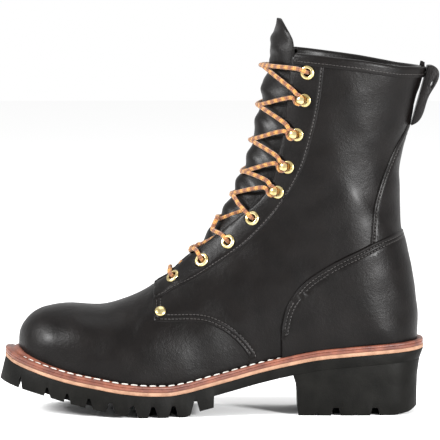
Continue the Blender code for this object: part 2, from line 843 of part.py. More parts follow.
def make_rivets(brass):
    rows = [(radius * RIVET_RADIUS, height * RIVET_RADIUS) for radius, height in RIVET_PROFILE]
    for side in ("outer", "inner"):
        seated = seat_on_side(RIVET_PLACE, side, QUARTER_STEP + GAP)
        finish(stacked("rivet", rows, *seated), f"rivet_{side}", brass)


def make_tongue(leather):
    """A curved sheet just inside the facings, round at the top."""
    places = sorted({row[0] for row in TONGUE_OUTLINE} | set(TONGUE_BENDS))
    count = 7
    outer, inner = [], []
    for place in places:
        half = table(TONGUE_OUTLINE, place)[0, 0] * SHAFT_WIDTH
        spread = width_angle(place, half)
        angles = TOP + np.linspace(-spread, spread, count)
        outer.append(surface(place, angles, -WALL - TONGUE_GAP))
        inner.append(surface(place, angles, -WALL - TONGUE_GAP - TONGUE))
    rings = [np.concatenate([out, into[::-1]]) for out, into in zip(outer, inner)]
    vertices = [tuple(point) for ring in rings for point in ring]
    faces = ring_faces(len(rings), 2 * count)
    first = list(range(2 * count))
    last = [len(vertices) - 2 * count + index for index in first]
    for end in (first, last):
        faces += [
            (end[index], end[index + 1], end[-index - 2], end[-index - 1]) for index in range(count - 1)
        ]
    return finish(add_object("tongue", vertices, faces), "tongue", leather)


def make_overlay(name, offset, thickness, outline, leather):
    """A piece of leather lying on the quarters, cut to an outline seen from the side."""
    overlay = closed_form(name, offset + thickness)
    combine(overlay, side_prism("overlay_prism", outline), "INTERSECT")
    combine(overlay, closed_form("under", offset), "DIFFERENCE")
    return finish(overlay, name, leather)


def make_counter(leather):
    edge = side_points(COUNTER_EDGE)
    start = edge[0][0]
    low = level_line(welt_top, edge[-1][0], start, LEVEL_POINTS // 2, GAP)
    return make_overlay("heel_counter", QUARTER_STEP + GAP, COUNTER, edge + low, leather)


def make_backstay(leather):
    front = side_points(BACKSTAY_EDGE)
    counter = [(x, z + GAP) for x, z in side_points(COUNTER_EDGE)]
    lower = [point for point in counter if point[0] > front[0][0]]
    upper_end = collar_height(front[-1][0]) - BINDING_DROP - 2 * GAP
    front[-1] = (front[-1][0], upper_end)
    outline = front + [(lower[-1][0], upper_end)] + lower[::-1]
    return make_overlay("backstay", QUARTER_STEP + GAP, BACKSTAY, outline[1:], leather)


def collar_height(x, y=0.0):
    edge = sorted(zip(side_points(COLLAR_EDGE), COLLAR_EDGE))
    places = [point[0] for point, _ in edge]
    middle = np.interp(x, places, [point[1] for point, _ in edge])
    return float(middle + y * np.interp(x, places, [row[2] for _, row in edge]))


def section_at(angle, level, low, high):
    """The section, between two, where the last at this angle climbs through a level given for x and y."""
    for _ in range(24):
        middle = (low + high) / 2
        x, y, z = form_point(middle, angle)[0]
        if z < level(x, y):
            low = middle
        else:
            high = middle
    return (low + high) / 2


def make_binding(leather):
    """A folded strip over the collar's edge, as one open channel from facing to facing."""
    steps = np.arange(BINDING_START, RING_POINTS - BINDING_START + 1)
    angles = TOP + steps * 2 * math.pi / RING_POINTS
    outside, inside = QUARTER_STEP + GAP, -WALL - GAP
    shoulder, crest = GAP + BINDING * 0.4, GAP + BINDING
    profile = (
        # offset, rise
        (outside, -BINDING_DROP),
        (outside + BINDING, -BINDING_DROP),
        (outside + BINDING, shoulder),
        (outside, crest),
        (inside, crest),
        (inside - BINDING, shoulder),
        (inside - BINDING, -BINDING_DROP),
        (inside, -BINDING_DROP),
        (inside, GAP),
        (outside, GAP),
    )
    vertices = []
    for angle in angles:
        section = section_at(angle, collar_height, 20.0, float(LAST_SECTION))
        edge = form_point(section, angle)[0]
        normal = form_normal(section, angle)[0]
        climb = form_point(section + 0.05, angle)[0] - form_point(section - 0.05, angle)[0]
        climb /= climb[2]
        for offset, rise in profile:
            place = edge + normal * offset
            lift = collar_height(place[0], place[1]) + rise - place[2]
            vertices.append(tuple(place + climb * lift))
    count = len(profile)
    faces = ring_faces(len(angles), count)
    for end in (0, len(vertices) - count):
        faces.append((end, end + 1, end + 2, end + 3, end + 9))
        faces.append((end + 3, end + 4, end + 8, end + 9))
        faces.append((end + 4, end + 5, end + 6, end + 7, end + 8))
    return finish(add_object("collar_binding", vertices, faces), "collar_binding", leather)


def back_x(z):
    """The x of the last's rear edge at a height."""
    sections = np.linspace(18.0, LAST_SECTION, 200)
    points = form_point(sections, -TOP)
    return float(np.interp(z, points[:, 2], points[:, 0]))


def make_loop(leather):
    """A strap folded out and down from the rim and sewn to the backstay, with the slot inside its fold."""
    rim = collar_height(HEEL_BACK) + GAP + BINDING
    clear = QUARTER_STEP + GAP + BINDING + GAP

    def outline(rows):
        heights = [rim - down * LOOP_DROP for down, _ in rows]
        return [(back_x(z) + clear + row[1] * LOOP_REACH, z) for z, row in zip(heights, rows)]

    shaft = [rim - LOOP_DROP * share for share in (0.85, 0.7, 0.5, 0.3, 0.15)]
    face = outline(LOOP_FACE) + [(back_x(z) + clear, z) for z in shaft]
    loop = side_prism("pull_loop", face, -LOOP_WIDTH / 2, LOOP_WIDTH / 2)
    combine(loop, side_prism("slot", outline(LOOP_SLOT)), "DIFFERENCE")
    return finish(loop, "pull_loop", leather)


def make_insole(board):
    insole = closed_form("insole", -WALL - GAP)
    places = level_line(seat, along_to_x(1.0) - CUTTER_REACH, HEEL_BACK + CUTTER_REACH, LEVEL_POINTS, GAP)
    outline = places + [(x, z + INSOLE) for x, z in reversed(places)]
    combine(insole, side_prism("insole_prism", outline), "INTERSECT")
    return finish(insole, "insole", board)


def sole_places():
    """Places along the sole for its sections, clear of the two very ends."""
    return [float(x) for x in stations(SOLE_TOE + END_MARGIN, SOLE_HEEL - END_MARGIN, OUTLINE_POINTS)]


def make_midsole(tan):
    midsole = plate("midsole", sole_places(), lambda x: rubber_top(x)[0] + GAP, lambda x: seat(x)[0])
    return finish(midsole, "midsole", tan)


def make_welt(brown):
    welt = plate("welt", sole_places(), lambda x: seat(x)[0] + GAP, lambda x: welt_top(x)[0])
    combine(welt, closed_form("foot", GAP), "DIFFERENCE")
    return finish(welt, "welt", brown)


def make_outsole(rubber):
    """A slab that deepens into lugs under the forefoot, cut by notches across and two grooves along."""
    end, step = along_to_x(LUG_END), 2 * END_MARGIN
    places = sole_places()
    front = [x for x in places if x < end - 4 * step]
    rear = [x for x in places if x > end + 6 * step]

    def underside(x):
        return tread(x)[0] if x <= end else rubber_top(x)[0] - SLAB

    outsole = plate("outsole", front + [end, end + step] + rear, underside, lambda x: rubber_top(x)[0])
    lean_sides(outsole)
    combine(outsole, notch_cutters(), "DIFFERENCE")
    combine(outsole, groove_cutters(), "DIFFERENCE")
    return finish(outsole, "outsole", rubber)


def heel_reach(x):
    """0 in front of the heel block, 1 at the back of the sole."""
    return max(0.0, (x - HEEL_BREAST) / (SOLE_HEEL - HEEL_BREAST))


def lean_sides(outsole):
    """Leans the rubber's edge outwards at the toe and under the heel inwards, going down."""
    start = along_to_x(TOE_LEAN_START)
    for vertex in outsole.data.vertices:
        x, y, z = vertex.co
        outer, inner = sole_sides(x)
        depth = float(rubber_top(x)[0]) - z
        ahead = max(0.0, (start - x) / (start - SOLE_TOE))
        full = depth / (SLAB + LUG)
        back_lean = HEEL_LEAN * HEEL_RINGS[0][1] * min(1.0, depth / SLAB)
        vertex.co.x = x - TOE_LEAN * full * ahead**2 - back_lean * heel_reach(x)
        if x < along_to_x(LUG_END):
            vertex.co.y = y + math.copysign(SIDE_LEAN * full, y - (outer + inner) / 2)


def notch_cutters():
    cutters = []
    for along, share in NOTCHES:
        x = along_to_x(along)
        low, high = float(tread(x)[0]), float(rubber_top(x)[0]) - SLAB
        wide, apex = NOTCH_WIDTH * share / 2, NOTCH_APEX * share / 2
        slope = wide + (wide - apex) * 0.4
        below = low - 0.4 * (high - low)
        outline = [(x - slope, below), (x - apex, high), (x + apex, high), (x + slope, below)]
        cutters.append(side_prism("notch", outline))
    return join_all(cutters)


def groove_cutters():
    """Two grooves along the forefoot that part the side lugs from the middle ones."""
    end = along_to_x(LUG_END) + GROOVE_WIDTH / 2
    places = np.linspace(along_to_x(GROOVE_START), end, LEVEL_POINTS // 2)
    cutters = []
    for share in GROOVE_PLACES:
        rings = []
        for x in places:
            outer, inner = sole_sides(x)
            middle = outer + share * (inner - outer)
            high = float(tread(x)[0]) + GROOVE_DEPTH
            low = high - GROOVE_DEPTH - GROOVE_WIDTH / 2
            half = GROOVE_WIDTH / 2
            corners = ((-half, low), (half, low), (half / 2, high), (-half / 2, high))
            rings.append([(float(x), middle + side, z) for side, z in corners])
        vertices = [vertex for ring in rings for vertex in ring]
        last = len(vertices) - 4
        faces = ring_faces(len(rings), 4) + [(0, 1, 2, 3), (last, last + 1, last + 2, last + 3)]
        cutters.append(add_object("groove", vertices, faces))
    return join_all(cutters)


def make_heel(rubber):
    """A D-shaped block that leans in to its tread, with two notches across and a bevel at the back."""
    back = SOLE_HEEL - END_MARGIN
    spread = stations(2 * HEEL_BREAST - back, back, HEEL_POINTS)
    places = [HEEL_BREAST] + [float(x) for x in spread if x > HEEL_BREAST + 10 * END_MARGIN]
    outline = [(x, sole_sides(x)[0]) for x in places] + [(x, sole_sides(x)[1]) for x in reversed(places)]
    rings = []
    for down, back_share, breast_share in HEEL_RINGS:
        narrow = 1 - HEEL_NARROWING * breast_share
        ring = []
        for x, y in outline:
            top = float(rubber_top(x)[0]) - SLAB - GAP
            reach = heel_reach(x)
            moved = x - back_share * HEEL_LEAN * reach + breast_share * BREAST_LEAN * (1 - reach)
            ring.append((moved, y * narrow, top * (1 - down)))
        rings.append(ring)
    count = len(outline)
    vertices = [vertex for ring in rings for vertex in ring]
    faces = ring_faces(len(rings), count)
    faces.append(tuple(range(count)))
    faces.append(tuple(len(vertices) - count + index for index in range(count)))
    heel = add_object("heel", vertices, faces)
    for place in HEEL_NOTCHES:
        wide, apex = HEEL_NOTCH_WIDTH / 2, HEEL_NOTCH_WIDTH * 0.28
        slope = wide + (wide - apex) * 0.35
        low = -0.35 * HEEL_NOTCH
        shape = [(place - slope, low), (place - apex, HEEL_NOTCH), (place + apex, HEEL_NOTCH)]
        shape.append((place + slope, low))
        combine(heel, side_prism("heel_notch", shape), "DIFFERENCE")
    bevel = [(back - ahead, up * HEEL_BEVEL) for ahead, up in HEEL_BEVEL_LINE]
    bevel += [(back + CUTTER_REACH, -CUTTER_REACH), (bevel[0][0], -CUTTER_REACH)]
    combine(heel, side_prism("heel_bevel", bevel), "DIFFERENCE")
    return finish(heel, "heel", rubber)


def tube(name, points, radius, sides=6):
    """A closed round tube along points."""
    points = [Vector(point) for point in points]
    vertices = []
    side = Vector((0.0, 0.0, 1.0))
    for index, point in enumerate(points):
        before, after = points[max(index - 1, 0)], points[min(index + 1, len(points) - 1)]
        tangent = (after - before).normalized()
        side = (side - side.dot(tangent) * tangent).normalized()
        other = tangent.cross(side)
        for number in range(sides):
            turn = 2 * math.pi * number / sides
            vertices.append(tuple(point + (math.cos(turn) * side + math.sin(turn) * other) * radius))
    last = len(vertices) - sides
    ends = [tuple(range(sides)), tuple(last + number for number in range(sides))]
    return add_object(name, vertices, ring_faces(len(points), sides) + ends)


def strand(start, middle, end, over):
    """Points of one strand over the tongue, from one side's fitting to the other's, through the middle."""
    high = QUARTER_STEP + 2 * GAP + LACE / 2
    centre = -WALL - TONGUE_GAP + GAP + LACE / 2 + (LACE * 0.4 if over else 0.0)
    middle_z = form_point(middle, TOP)[0, 2]
    points = []
    for section, angle in (start, end):
        end_z = form_point(section, angle)[0, 2]
        half = []
        for share in np.linspace(0.0, 1.0, 4):
            z = end_z + (middle_z - end_z) * share
            turn = angle + (TOP - angle) * share
            place = section_at(turn, lambda x, y, z=z: z, 9.0, float(LAST_SECTION))
            half.append(surface(place, turn, high + (centre - high) * share**2)[0])
        points.append(half)
    return points[0] + points[1][-2::-1]


def short_of(place, middle, distance):
    """A fitting's section and angle, moved towards the middle by a distance along the surface."""
    section, angle = place
    whole = np.linalg.norm(form_point(section, angle)[0] - form_point(middle, TOP)[0])
    share = distance / whole
    return section + (middle - section) * share, angle + (TOP - angle) * share


def make_laces(cord):
    """The bar at the foot of the throat and each crossing over the tongue, clear of the fittings."""
    clear = EYELET_RADIUS + LACE / 2 + 2 * FITTING_GAP
    low = [surface_place(*place) for place in EYELET_PLACES[:4]]
    high = [surface_place(*place) for place in HOOK_PLACES] + [surface_place(*EYELET_PLACES[4])]
    fittings = low + high
    start = short_of(fittings[0], LACE_BAR, clear)
    bar = tube("lace", strand(start, LACE_BAR, (start[0], math.pi - start[1]), False), LACE / 2)
    finish(bar, "lace_bar", cord, 80.0)
    for number, middle in enumerate(LACE_CROSSINGS, 1):
        first = short_of(fittings[number], middle, clear)
        second = short_of(fittings[number + 1], middle, clear)
        if number <= 2:
            second = short_of(fittings[number + 1], middle, clear + DIVE)
        strands = []
        for over in (False, True):
            near, far = first, (second[0], math.pi - second[1])
            if over:
                near, far = (first[0], math.pi - first[1]), second
            strands.append(tube("lace", strand(near, middle, far, over), LACE / 2))
        crossing = combine(strands[0], strands[1], "UNION")
        finish(crossing, f"lace_crossing_{number}", cord, 80.0)


def main():
    for old in list(bpy.data.objects):
        bpy.data.objects.remove(old)
    leather = material("black_leather", LEATHER, 0.42)
    rubber = material("black_rubber", RUBBER, 0.7)
    brown = material("welt_brown", WELT_BROWN, 0.5)
    tan = material("midsole_tan", MIDSOLE_TAN, 0.65)
    brass = material("brass", BRASS, 0.25, 1.0)
    cord = material("cord", CORD, 0.75)
    make_upper(leather)
    make_outsole(rubber)
    make_heel(rubber)
    make_midsole(tan)
    make_welt(brown)
    make_insole(leather)
    make_tongue(leather)
    make_counter(leather)
    make_backstay(leather)
    make_binding(leather)
    make_loop(leather)
    make_eyelets(brass)
    make_hooks(brass)
    make_rivets(brass)
    make_laces(cord)


main()
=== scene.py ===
import math

import bmesh
import bpy
import numpy as np
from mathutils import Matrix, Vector
from mathutils.geometry import delaunay_2d_cdt


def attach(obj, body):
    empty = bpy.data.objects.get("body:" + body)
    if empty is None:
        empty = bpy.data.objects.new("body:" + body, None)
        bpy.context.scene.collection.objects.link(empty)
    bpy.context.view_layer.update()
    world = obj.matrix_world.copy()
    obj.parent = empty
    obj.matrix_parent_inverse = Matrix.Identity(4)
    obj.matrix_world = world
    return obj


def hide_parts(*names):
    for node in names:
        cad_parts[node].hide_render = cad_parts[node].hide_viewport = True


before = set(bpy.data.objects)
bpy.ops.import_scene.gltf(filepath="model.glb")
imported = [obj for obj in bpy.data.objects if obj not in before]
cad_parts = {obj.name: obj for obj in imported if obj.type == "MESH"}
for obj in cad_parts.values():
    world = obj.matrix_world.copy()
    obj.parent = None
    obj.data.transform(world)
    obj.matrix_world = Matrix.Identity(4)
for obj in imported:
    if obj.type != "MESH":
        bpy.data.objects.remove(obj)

# The last
FORM_LENGTH = 0.2929
HEEL_BACK = 0.0441
BALL_WIDTH = 0.098
INSTEP_HEIGHT = 0.1054
SHAFT_HEIGHT = 0.2205
SHAFT_LENGTH = 0.115
SHAFT_WIDTH = 0.0856
ANKLE_X = -0.020

# The bottom
TOE_SPRING = 0.0248
HEEL_RISE = 0.0324
SLAB = 0.0074
LUG = 0.0080
MIDSOLE = 0.0025
WELT = 0.0042
TOE_REACH = 0.0100
SIDE_REACH = 0.0080
WAIST_REACH = 0.0065
HEEL_SIDE_REACH = 0.0074
HEEL_REACH = 0.0086
TOE_LEAN = 0.0038
SIDE_LEAN = 0.0007
NOTCH_WIDTH = 0.0074
NOTCH_APEX = 0.0022
GROOVE_WIDTH = 0.0042
GROOVE_DEPTH = 0.0060
HEEL_BREAST = -0.0455
HEEL_LEAN = 0.0050
BREAST_LEAN = 0.0039
HEEL_NARROWING = 0.04
HEEL_NOTCH = 0.0057
HEEL_NOTCH_WIDTH = 0.0071
HEEL_BEVEL = 0.0050

# Leather
WALL = 0.0022
QUARTER_STEP = 0.0012
COUNTER = 0.0019
BACKSTAY = 0.0013
TONGUE = 0.0020
BINDING = 0.0014
BINDING_DROP = 0.0058
LOOP_WIDTH = 0.020
LOOP_DROP = 0.0440
LOOP_REACH = 0.0105

# Cord
LACE = 0.0032

# Clearances: between pieces that touch, and between the tongue and the wall
GAP = 0.0003
TONGUE_GAP = 0.0009

# How far the last runs on below the seat, how far cutters reach past the heel and to the sides, and how near
# the sole's two ends its first and last sections are
SINK = 0.008
CUTTER_REACH = 0.012
FAR = 0.09
END_MARGIN = 0.0002

# The collar's whole turn in steps, and the steps from the front that the binding leaves free on each side
RING_POINTS = 28
BINDING_START = 4

# Top of the rubber. along is a share of FORM_LENGTH from the heel, toe of TOE_SPRING, heel of HEEL_RISE.
SOLE_LINE = (
    # along, toe, heel
    (1.046, 1.080, 0.0),
    (1.031, 1.000, 0.0),
    (1.008, 0.863, 0.0),
    (0.970, 0.706, 0.0),
    (0.919, 0.520, 0.0),
    (0.864, 0.359, 0.0),
    (0.799, 0.218, 0.0),
    (0.731, 0.081, 0.0),
    (0.663, 0.008, 0.0),
    (0.622, 0.0, 0.0),
    (0.574, 0.0, 0.062),
    (0.519, 0.0, 0.185),
    (0.458, 0.0, 0.327),
    (0.390, 0.0, 0.494),
    (0.321, 0.0, 0.639),
    (0.236, 0.0, 0.787),
    (0.151, 0.0, 0.864),
    (0.065, 0.0, 0.926),
    (-0.027, 0.0, 1.0),
)

# Underside of the forefoot lugs, flat on the floor under the ball. rise is a share of TOE_SPRING.
TREAD_LINE = (
    # along, rise
    (1.046, 1.07),
    (1.025, 0.95),
    (0.997, 0.83),
    (0.936, 0.63),
    (0.885, 0.47),
    (0.833, 0.33),
    (0.779, 0.197),
    (0.731, 0.095),
    (0.697, 0.024),
    (0.683, 0.0),
    (0.584, 0.0),
    (0.540, 0.17),
    (0.505, 0.27),
)

# Sections across the foot. along and base are shares of FORM_LENGTH from the heel back to the section's
# top and bottom, rise of INSTEP_HEIGHT above the seat, outer, inner and ridge of BALL_WIDTH. widest is the
# share of the height at the widest place, crown and side are the exponents above and below it.
FOOT_SECTIONS = (
    # along, rise, base, outer, inner, ridge, widest, crown, side
    (1.000, 0.107, 1.000, 0.000, 0.000, 0.082, 0.45, 2.20, 2.6),
    (0.998, 0.180, 0.998, 0.085, 0.082, 0.082, 0.45, 2.20, 2.8),
    (0.992, 0.233, 0.992, 0.158, 0.148, 0.082, 0.43, 2.20, 3.0),
    (0.980, 0.292, 0.980, 0.236, 0.220, 0.082, 0.41, 2.20, 3.2),
    (0.961, 0.360, 0.961, 0.306, 0.288, 0.080, 0.39, 2.20, 3.4),
    (0.934, 0.421, 0.934, 0.366, 0.348, 0.077, 0.37, 2.25, 3.6),
    (0.898, 0.465, 0.898, 0.417, 0.396, 0.071, 0.36, 2.30, 3.8),
    (0.854, 0.498, 0.854, 0.462, 0.439, 0.061, 0.35, 2.35, 4.0),
    (0.799, 0.522, 0.799, 0.496, 0.470, 0.051, 0.34, 2.30, 4.0),
    (0.738, 0.588, 0.738, 0.516, 0.484, 0.041, 0.33, 2.15, 4.0),
    (0.702, 0.640, 0.702, 0.513, 0.476, 0.036, 0.33, 2.05, 4.0),
    (0.663, 0.710, 0.652, 0.500, 0.452, 0.031, 0.33, 1.95, 4.0),
    (0.622, 0.791, 0.574, 0.456, 0.396, 0.020, 0.33, 1.85, 4.0),
    (0.582, 0.903, 0.485, 0.404, 0.352, 0.015, 0.34, 1.80, 4.0),
    (0.541, 0.993, 0.383, 0.362, 0.330, 0.010, 0.37, 1.85, 4.0),
    (0.506, 1.099, 0.273, 0.354, 0.340, 0.005, 0.40, 1.90, 4.0),
    (0.482, 1.186, 0.171, 0.360, 0.356, 0.000, 0.43, 1.95, 4.0),
    (0.463, 1.277, 0.075, 0.363, 0.363, 0.000, 0.45, 2.00, 3.6),
)

# Sections through the shaft. front and back are shares of SHAFT_LENGTH from ANKLE_X, front_up and back_up
# of SHAFT_HEIGHT above the heel seat, outer and inner of SHAFT_WIDTH.
SHAFT_SECTIONS = (
    # front, front_up, back, back_up, outer, inner, widest, crown, side
    (0.578, 0.567, 0.522, -0.034, 0.420, 0.420, 0.47, 2.00, 3.1),
    (0.532, 0.624, 0.556, 0.027, 0.428, 0.428, 0.48, 2.00, 2.6),
    (0.501, 0.676, 0.557, 0.104, 0.437, 0.437, 0.49, 2.00, 2.4),
    (0.482, 0.726, 0.543, 0.172, 0.444, 0.444, 0.50, 2.00, 2.25),
    (0.464, 0.771, 0.523, 0.245, 0.446, 0.446, 0.50, 2.00, 2.15),
    (0.448, 0.812, 0.494, 0.322, 0.446, 0.446, 0.50, 2.00, 2.10),
    (0.432, 0.853, 0.457, 0.399, 0.447, 0.447, 0.50, 2.00, 2.05),
    (0.416, 0.893, 0.449, 0.481, 0.452, 0.452, 0.50, 2.00, 2.05),
    (0.399, 0.934, 0.444, 0.567, 0.459, 0.459, 0.50, 2.00, 2.05),
    (0.385, 0.971, 0.469, 0.653, 0.470, 0.470, 0.50, 2.02, 2.10),
    (0.374, 1.002, 0.505, 0.726, 0.479, 0.479, 0.50, 2.05, 2.10),
    (0.363, 1.039, 0.550, 0.812, 0.488, 0.488, 0.50, 2.05, 2.12),
    (0.353, 1.075, 0.600, 0.907, 0.495, 0.495, 0.50, 2.08, 2.15),
    (0.342, 1.116, 0.648, 1.025, 0.502, 0.502, 0.50, 2.10, 2.15),
)

# Half the gap between the facings, as a share of SHAFT_WIDTH, at each place along the sections.
THROAT = (
    # section, half_gap
    (11.15, 0.075),
    (12.0, 0.085),
    (13.0, 0.105),
    (14.0, 0.135),
    (16.0, 0.215),
    (18.0, 0.275),
    (20.0, 0.315),
    (24.0, 0.345),
    (28.0, 0.355),
    (31.0, 0.360),
)

# Half the tongue's width, as a share of SHAFT_WIDTH, round at its top.
TONGUE_OUTLINE = (
    # section, half_width
    (10.6, 0.18),
    (12.0, 0.25),
    (14.0, 0.30),
    (16.0, 0.36),
    (19.0, 0.40),
    (22.0, 0.41),
    (24.5, 0.39),
    (26.5, 0.362),
    (28.2, 0.352),
    (29.2, 0.33),
    (29.8, 0.28),
    (30.25, 0.20),
    (30.5, 0.10),
)

# The collar's cut edge: along of FORM_LENGTH from the heel back, up of SHAFT_HEIGHT above the heel seat at
# the middle of the boot, lean the rise for each step towards the inner side.
COLLAR_EDGE = (
    # along, up, lean
    (0.500, 1.005, 0.055),
    (0.311, 0.981, 0.041),
    (0.226, 0.968, 0.023),
    (0.138, 0.953, 0.015),
    (0.042, 0.931, 0.014),
    (-0.030, 0.924, 0.0),
    (-0.150, 0.922, 0.0),
)


# Edges seen from the side: along of FORM_LENGTH from the heel back, up of SHAFT_HEIGHT above the heel seat
QUARTER_EDGE = (
    # along, up
    (0.648, 0.420),
    (0.655, 0.200),
    (0.657, 0.098),
    (0.652, 0.086),
    (0.603, 0.086),
    (0.537, 0.089),
    (0.492, 0.067),
    (0.459, 0.037),
    (0.434, 0.003),
    (0.418, -0.027),
)
COUNTER_EDGE = (
    # along, up
    (0.337, 0.064),
    (0.329, 0.123),
    (0.309, 0.173),
    (0.284, 0.217),
    (0.247, 0.253),
    (0.198, 0.293),
    (0.135, 0.333),
    (0.102, 0.356),
    (0.065, 0.375),
    (0.030, 0.389),
    (-0.060, 0.410),
)
BACKSTAY_EDGE = (
    # along, up
    (0.116, 0.330),
    (0.109, 0.463),
    (0.091, 0.550),
    (0.064, 0.633),
    (0.029, 0.717),
    (0.016, 0.760),
    (-0.004, 0.840),
    (-0.020, 0.960),
)

# Four low eyelets, four hooks and the top eyelet on each side, from the toe up
EYELET_PLACES = ((0.604, 0.228), (0.532, 0.285), (0.469, 0.348), (0.409, 0.428), (0.270, 0.916))
HOOK_PLACES = ((0.344, 0.518), (0.319, 0.601), (0.297, 0.711), (0.277, 0.827))
RIVET_PLACE = (0.636, 0.120)


# The outer face of the pull loop's strap, seen from the side. down is a share of LOOP_DROP from the rim,
# out of LOOP_REACH from the binding and the backstay.
LOOP_FACE = (
    # down, out
    (0.00, 0.00),
    (-0.01, 0.30),
    (0.03, 0.70),
    (0.12, 0.97),
    (0.24, 1.00),
    (0.36, 0.86),
    (0.48, 0.66),
    (0.62, 0.60),
    (0.76, 0.62),
    (0.88, 0.55),
    (0.96, 0.35),
    (1.00, 0.00),
)

# Forefoot notches: place along FORM_LENGTH and share of the full notch width
NOTCHES = (
    # along, width
    (0.991, 0.35),
    (0.922, 0.65),
    (0.871, 0.70),
    (0.816, 0.80),
    (0.762, 0.95),
    (0.707, 1.0),
    (0.656, 1.0),
    (0.605, 1.0),
    (0.550, 0.90),
)

# Where along FORM_LENGTH the lugs end, the toe's lean starts and the grooves start, the grooves' shares of
# the sole's width, and the x of the heel's notches and of the small nicks between them
LUG_END = 0.505
TOE_LEAN_START = 0.88
GROOVE_START = 0.985
GROOVE_PLACES = (0.34, 0.66)
HEEL_NOTCHES = (-0.0141, 0.0148)
HEEL_NICKS = (-0.0280, 0.0005, 0.0330)

# The heel block's rings from its top to the floor: share of the height, of HEEL_LEAN and of BREAST_LEAN
HEEL_RINGS = (
    # down, back, breast
    (0.0, 0.55, 0.0),
    (0.30, 0.88, 0.70),
    (0.65, 0.96, 0.88),
    (1.0, 1.0, 1.0),
)

# The bevel under the back of the heel: distance ahead of the sole's end, share of HEEL_BEVEL
HEEL_BEVEL_LINE = (
    # ahead, up
    (0.023, -0.02),
    (0.011, 0.4),
    (0.003, 1.2),
    (-0.010, 3.0),
)


def interpolate(keys, rows, at):
    """A monotone cubic through the rows of a table, so that level stretches stay level."""
    keys = np.asarray(keys, float)
    rows = np.asarray(rows, float).reshape(len(keys), -1)
    at = np.atleast_1d(np.asarray(at, float))
    step = np.diff(keys)[:, None]
    slope = np.diff(rows, axis=0) / step
    left, right = slope[:-1], slope[1:]
    together = left * right
    safe = np.where(together > 0, left + right, 1.0)
    tangent = np.zeros_like(rows)
    tangent[1:-1] = np.where(together > 0, 2 * together / safe, 0.0)
    tangent[0], tangent[-1] = slope[0], slope[-1]
    low = np.clip(np.searchsorted(keys, at, side="right") - 1, 0, len(keys) - 2)
    part = ((at - keys[low]) / step[low, 0])[:, None]
    part = np.clip(part, 0.0, 1.0)
    square, cube = part**2, part**3
    return (
        (2 * cube - 3 * square + 1) * rows[low]
        + (cube - 2 * square + part) * step[low] * tangent[low]
        + (3 * square - 2 * cube) * rows[low + 1]
        + (cube - square) * step[low] * tangent[low + 1]
    )


def table(rows, at):
    """Reads a table by its first column, whichever way that column runs."""
    rows = np.asarray(rows, float)
    if rows[0, 0] > rows[-1, 0]:
        rows = rows[::-1]
    return interpolate(rows[:, 0], rows[:, 1:], at)


def along_to_x(along):
    return HEEL_BACK - along * FORM_LENGTH


def x_to_along(x):
    return (HEEL_BACK - np.asarray(x, float)) / FORM_LENGTH


def rubber_top(x):
    shares = table(SOLE_LINE, x_to_along(x))
    return SLAB + LUG + shares[:, 0] * TOE_SPRING + shares[:, 1] * HEEL_RISE


def tread(x):
    return table(TREAD_LINE, x_to_along(x))[:, 0] * TOE_SPRING


def seat(x):
    """Top of the midsole, where the upper and the welt stand."""
    return rubber_top(x) + GAP + MIDSOLE


HEEL_SEAT = float(seat(HEEL_BACK)[0])


def section_rows():
    """Both section tables in metres: top x, z, bottom x, z, outer, inner, ridge, widest, crown and side."""
    rows = []
    for along, rise, base, outer, inner, ridge, widest, crown, side in FOOT_SECTIONS:
        top_x, bottom_x = along_to_x(along), along_to_x(base)
        top_z = seat(top_x)[0] + rise * INSTEP_HEIGHT
        bottom_z = top_z if outer == 0 else seat(bottom_x)[0] - SINK
        widths = [outer * BALL_WIDTH, inner * BALL_WIDTH, ridge * BALL_WIDTH]
        rows.append([top_x, top_z, bottom_x, bottom_z, *widths, widest, crown, side])
    for front, front_up, back, back_up, outer, inner, widest, crown, side in SHAFT_SECTIONS:
        top_x, bottom_x = ANKLE_X - front * SHAFT_LENGTH, ANKLE_X + back * SHAFT_LENGTH
        top_z, bottom_z = HEEL_SEAT + front_up * SHAFT_HEIGHT, HEEL_SEAT + back_up * SHAFT_HEIGHT
        widths = [outer * SHAFT_WIDTH, inner * SHAFT_WIDTH, 0.0]
        rows.append([top_x, top_z, bottom_x, bottom_z, *widths, widest, crown, side])
    return np.array(rows)


SECTION_ROWS = section_rows()
LAST_SECTION = len(SECTION_ROWS) - 1
TOP = math.pi / 2


def form_point(section, angle):
    """Points of the last at a place along the sections and an angle round: 0 inner side, TOP the front."""
    section, angle = np.broadcast_arrays(np.atleast_1d(section), np.atleast_1d(angle))
    rows = interpolate(np.arange(LAST_SECTION + 1), SECTION_ROWS, section.ravel())
    top, bottom = rows[:, 0:2], rows[:, 2:4]
    outer, inner, ridge, widest, crown, side = rows[:, 4:].T
    cosine, sine = np.cos(angle.ravel()), np.sin(angle.ravel())
    power = 2.0 / np.where(sine >= 0, crown, side)
    across = np.where(cosine >= 0, inner, -outer) * np.abs(cosine) ** power
    share = widest + np.where(sine >= 0, 1 - widest, -widest) * np.abs(sine) ** power
    place = bottom + (top - bottom) * share[:, None]
    return np.stack([place[:, 0], ridge + across, place[:, 1]], axis=1).reshape(section.shape + (3,))


def form_normal(section, angle, step=0.02):
    """Outward unit normals, from neighbouring points."""
    section, angle = np.broadcast_arrays(np.atleast_1d(section), np.atleast_1d(angle))
    later = np.minimum(section + step, LAST_SECTION)
    earlier = np.maximum(section - step, 0.0)
    along = form_point(later, angle) - form_point(earlier, angle)
    round_ = form_point(section, angle + step) - form_point(section, angle - step)
    normal = np.cross(round_, along)
    length = np.linalg.norm(normal, axis=-1, keepdims=True)
    return np.where(length > 0, normal / np.where(length > 0, length, 1), np.array([-1.0, 0.0, 0.0]))


def surface(section, angle, offset):
    """Points at a distance outside the last, or inside it where the distance is negative."""
    return form_point(section, angle) + form_normal(section, angle) * offset


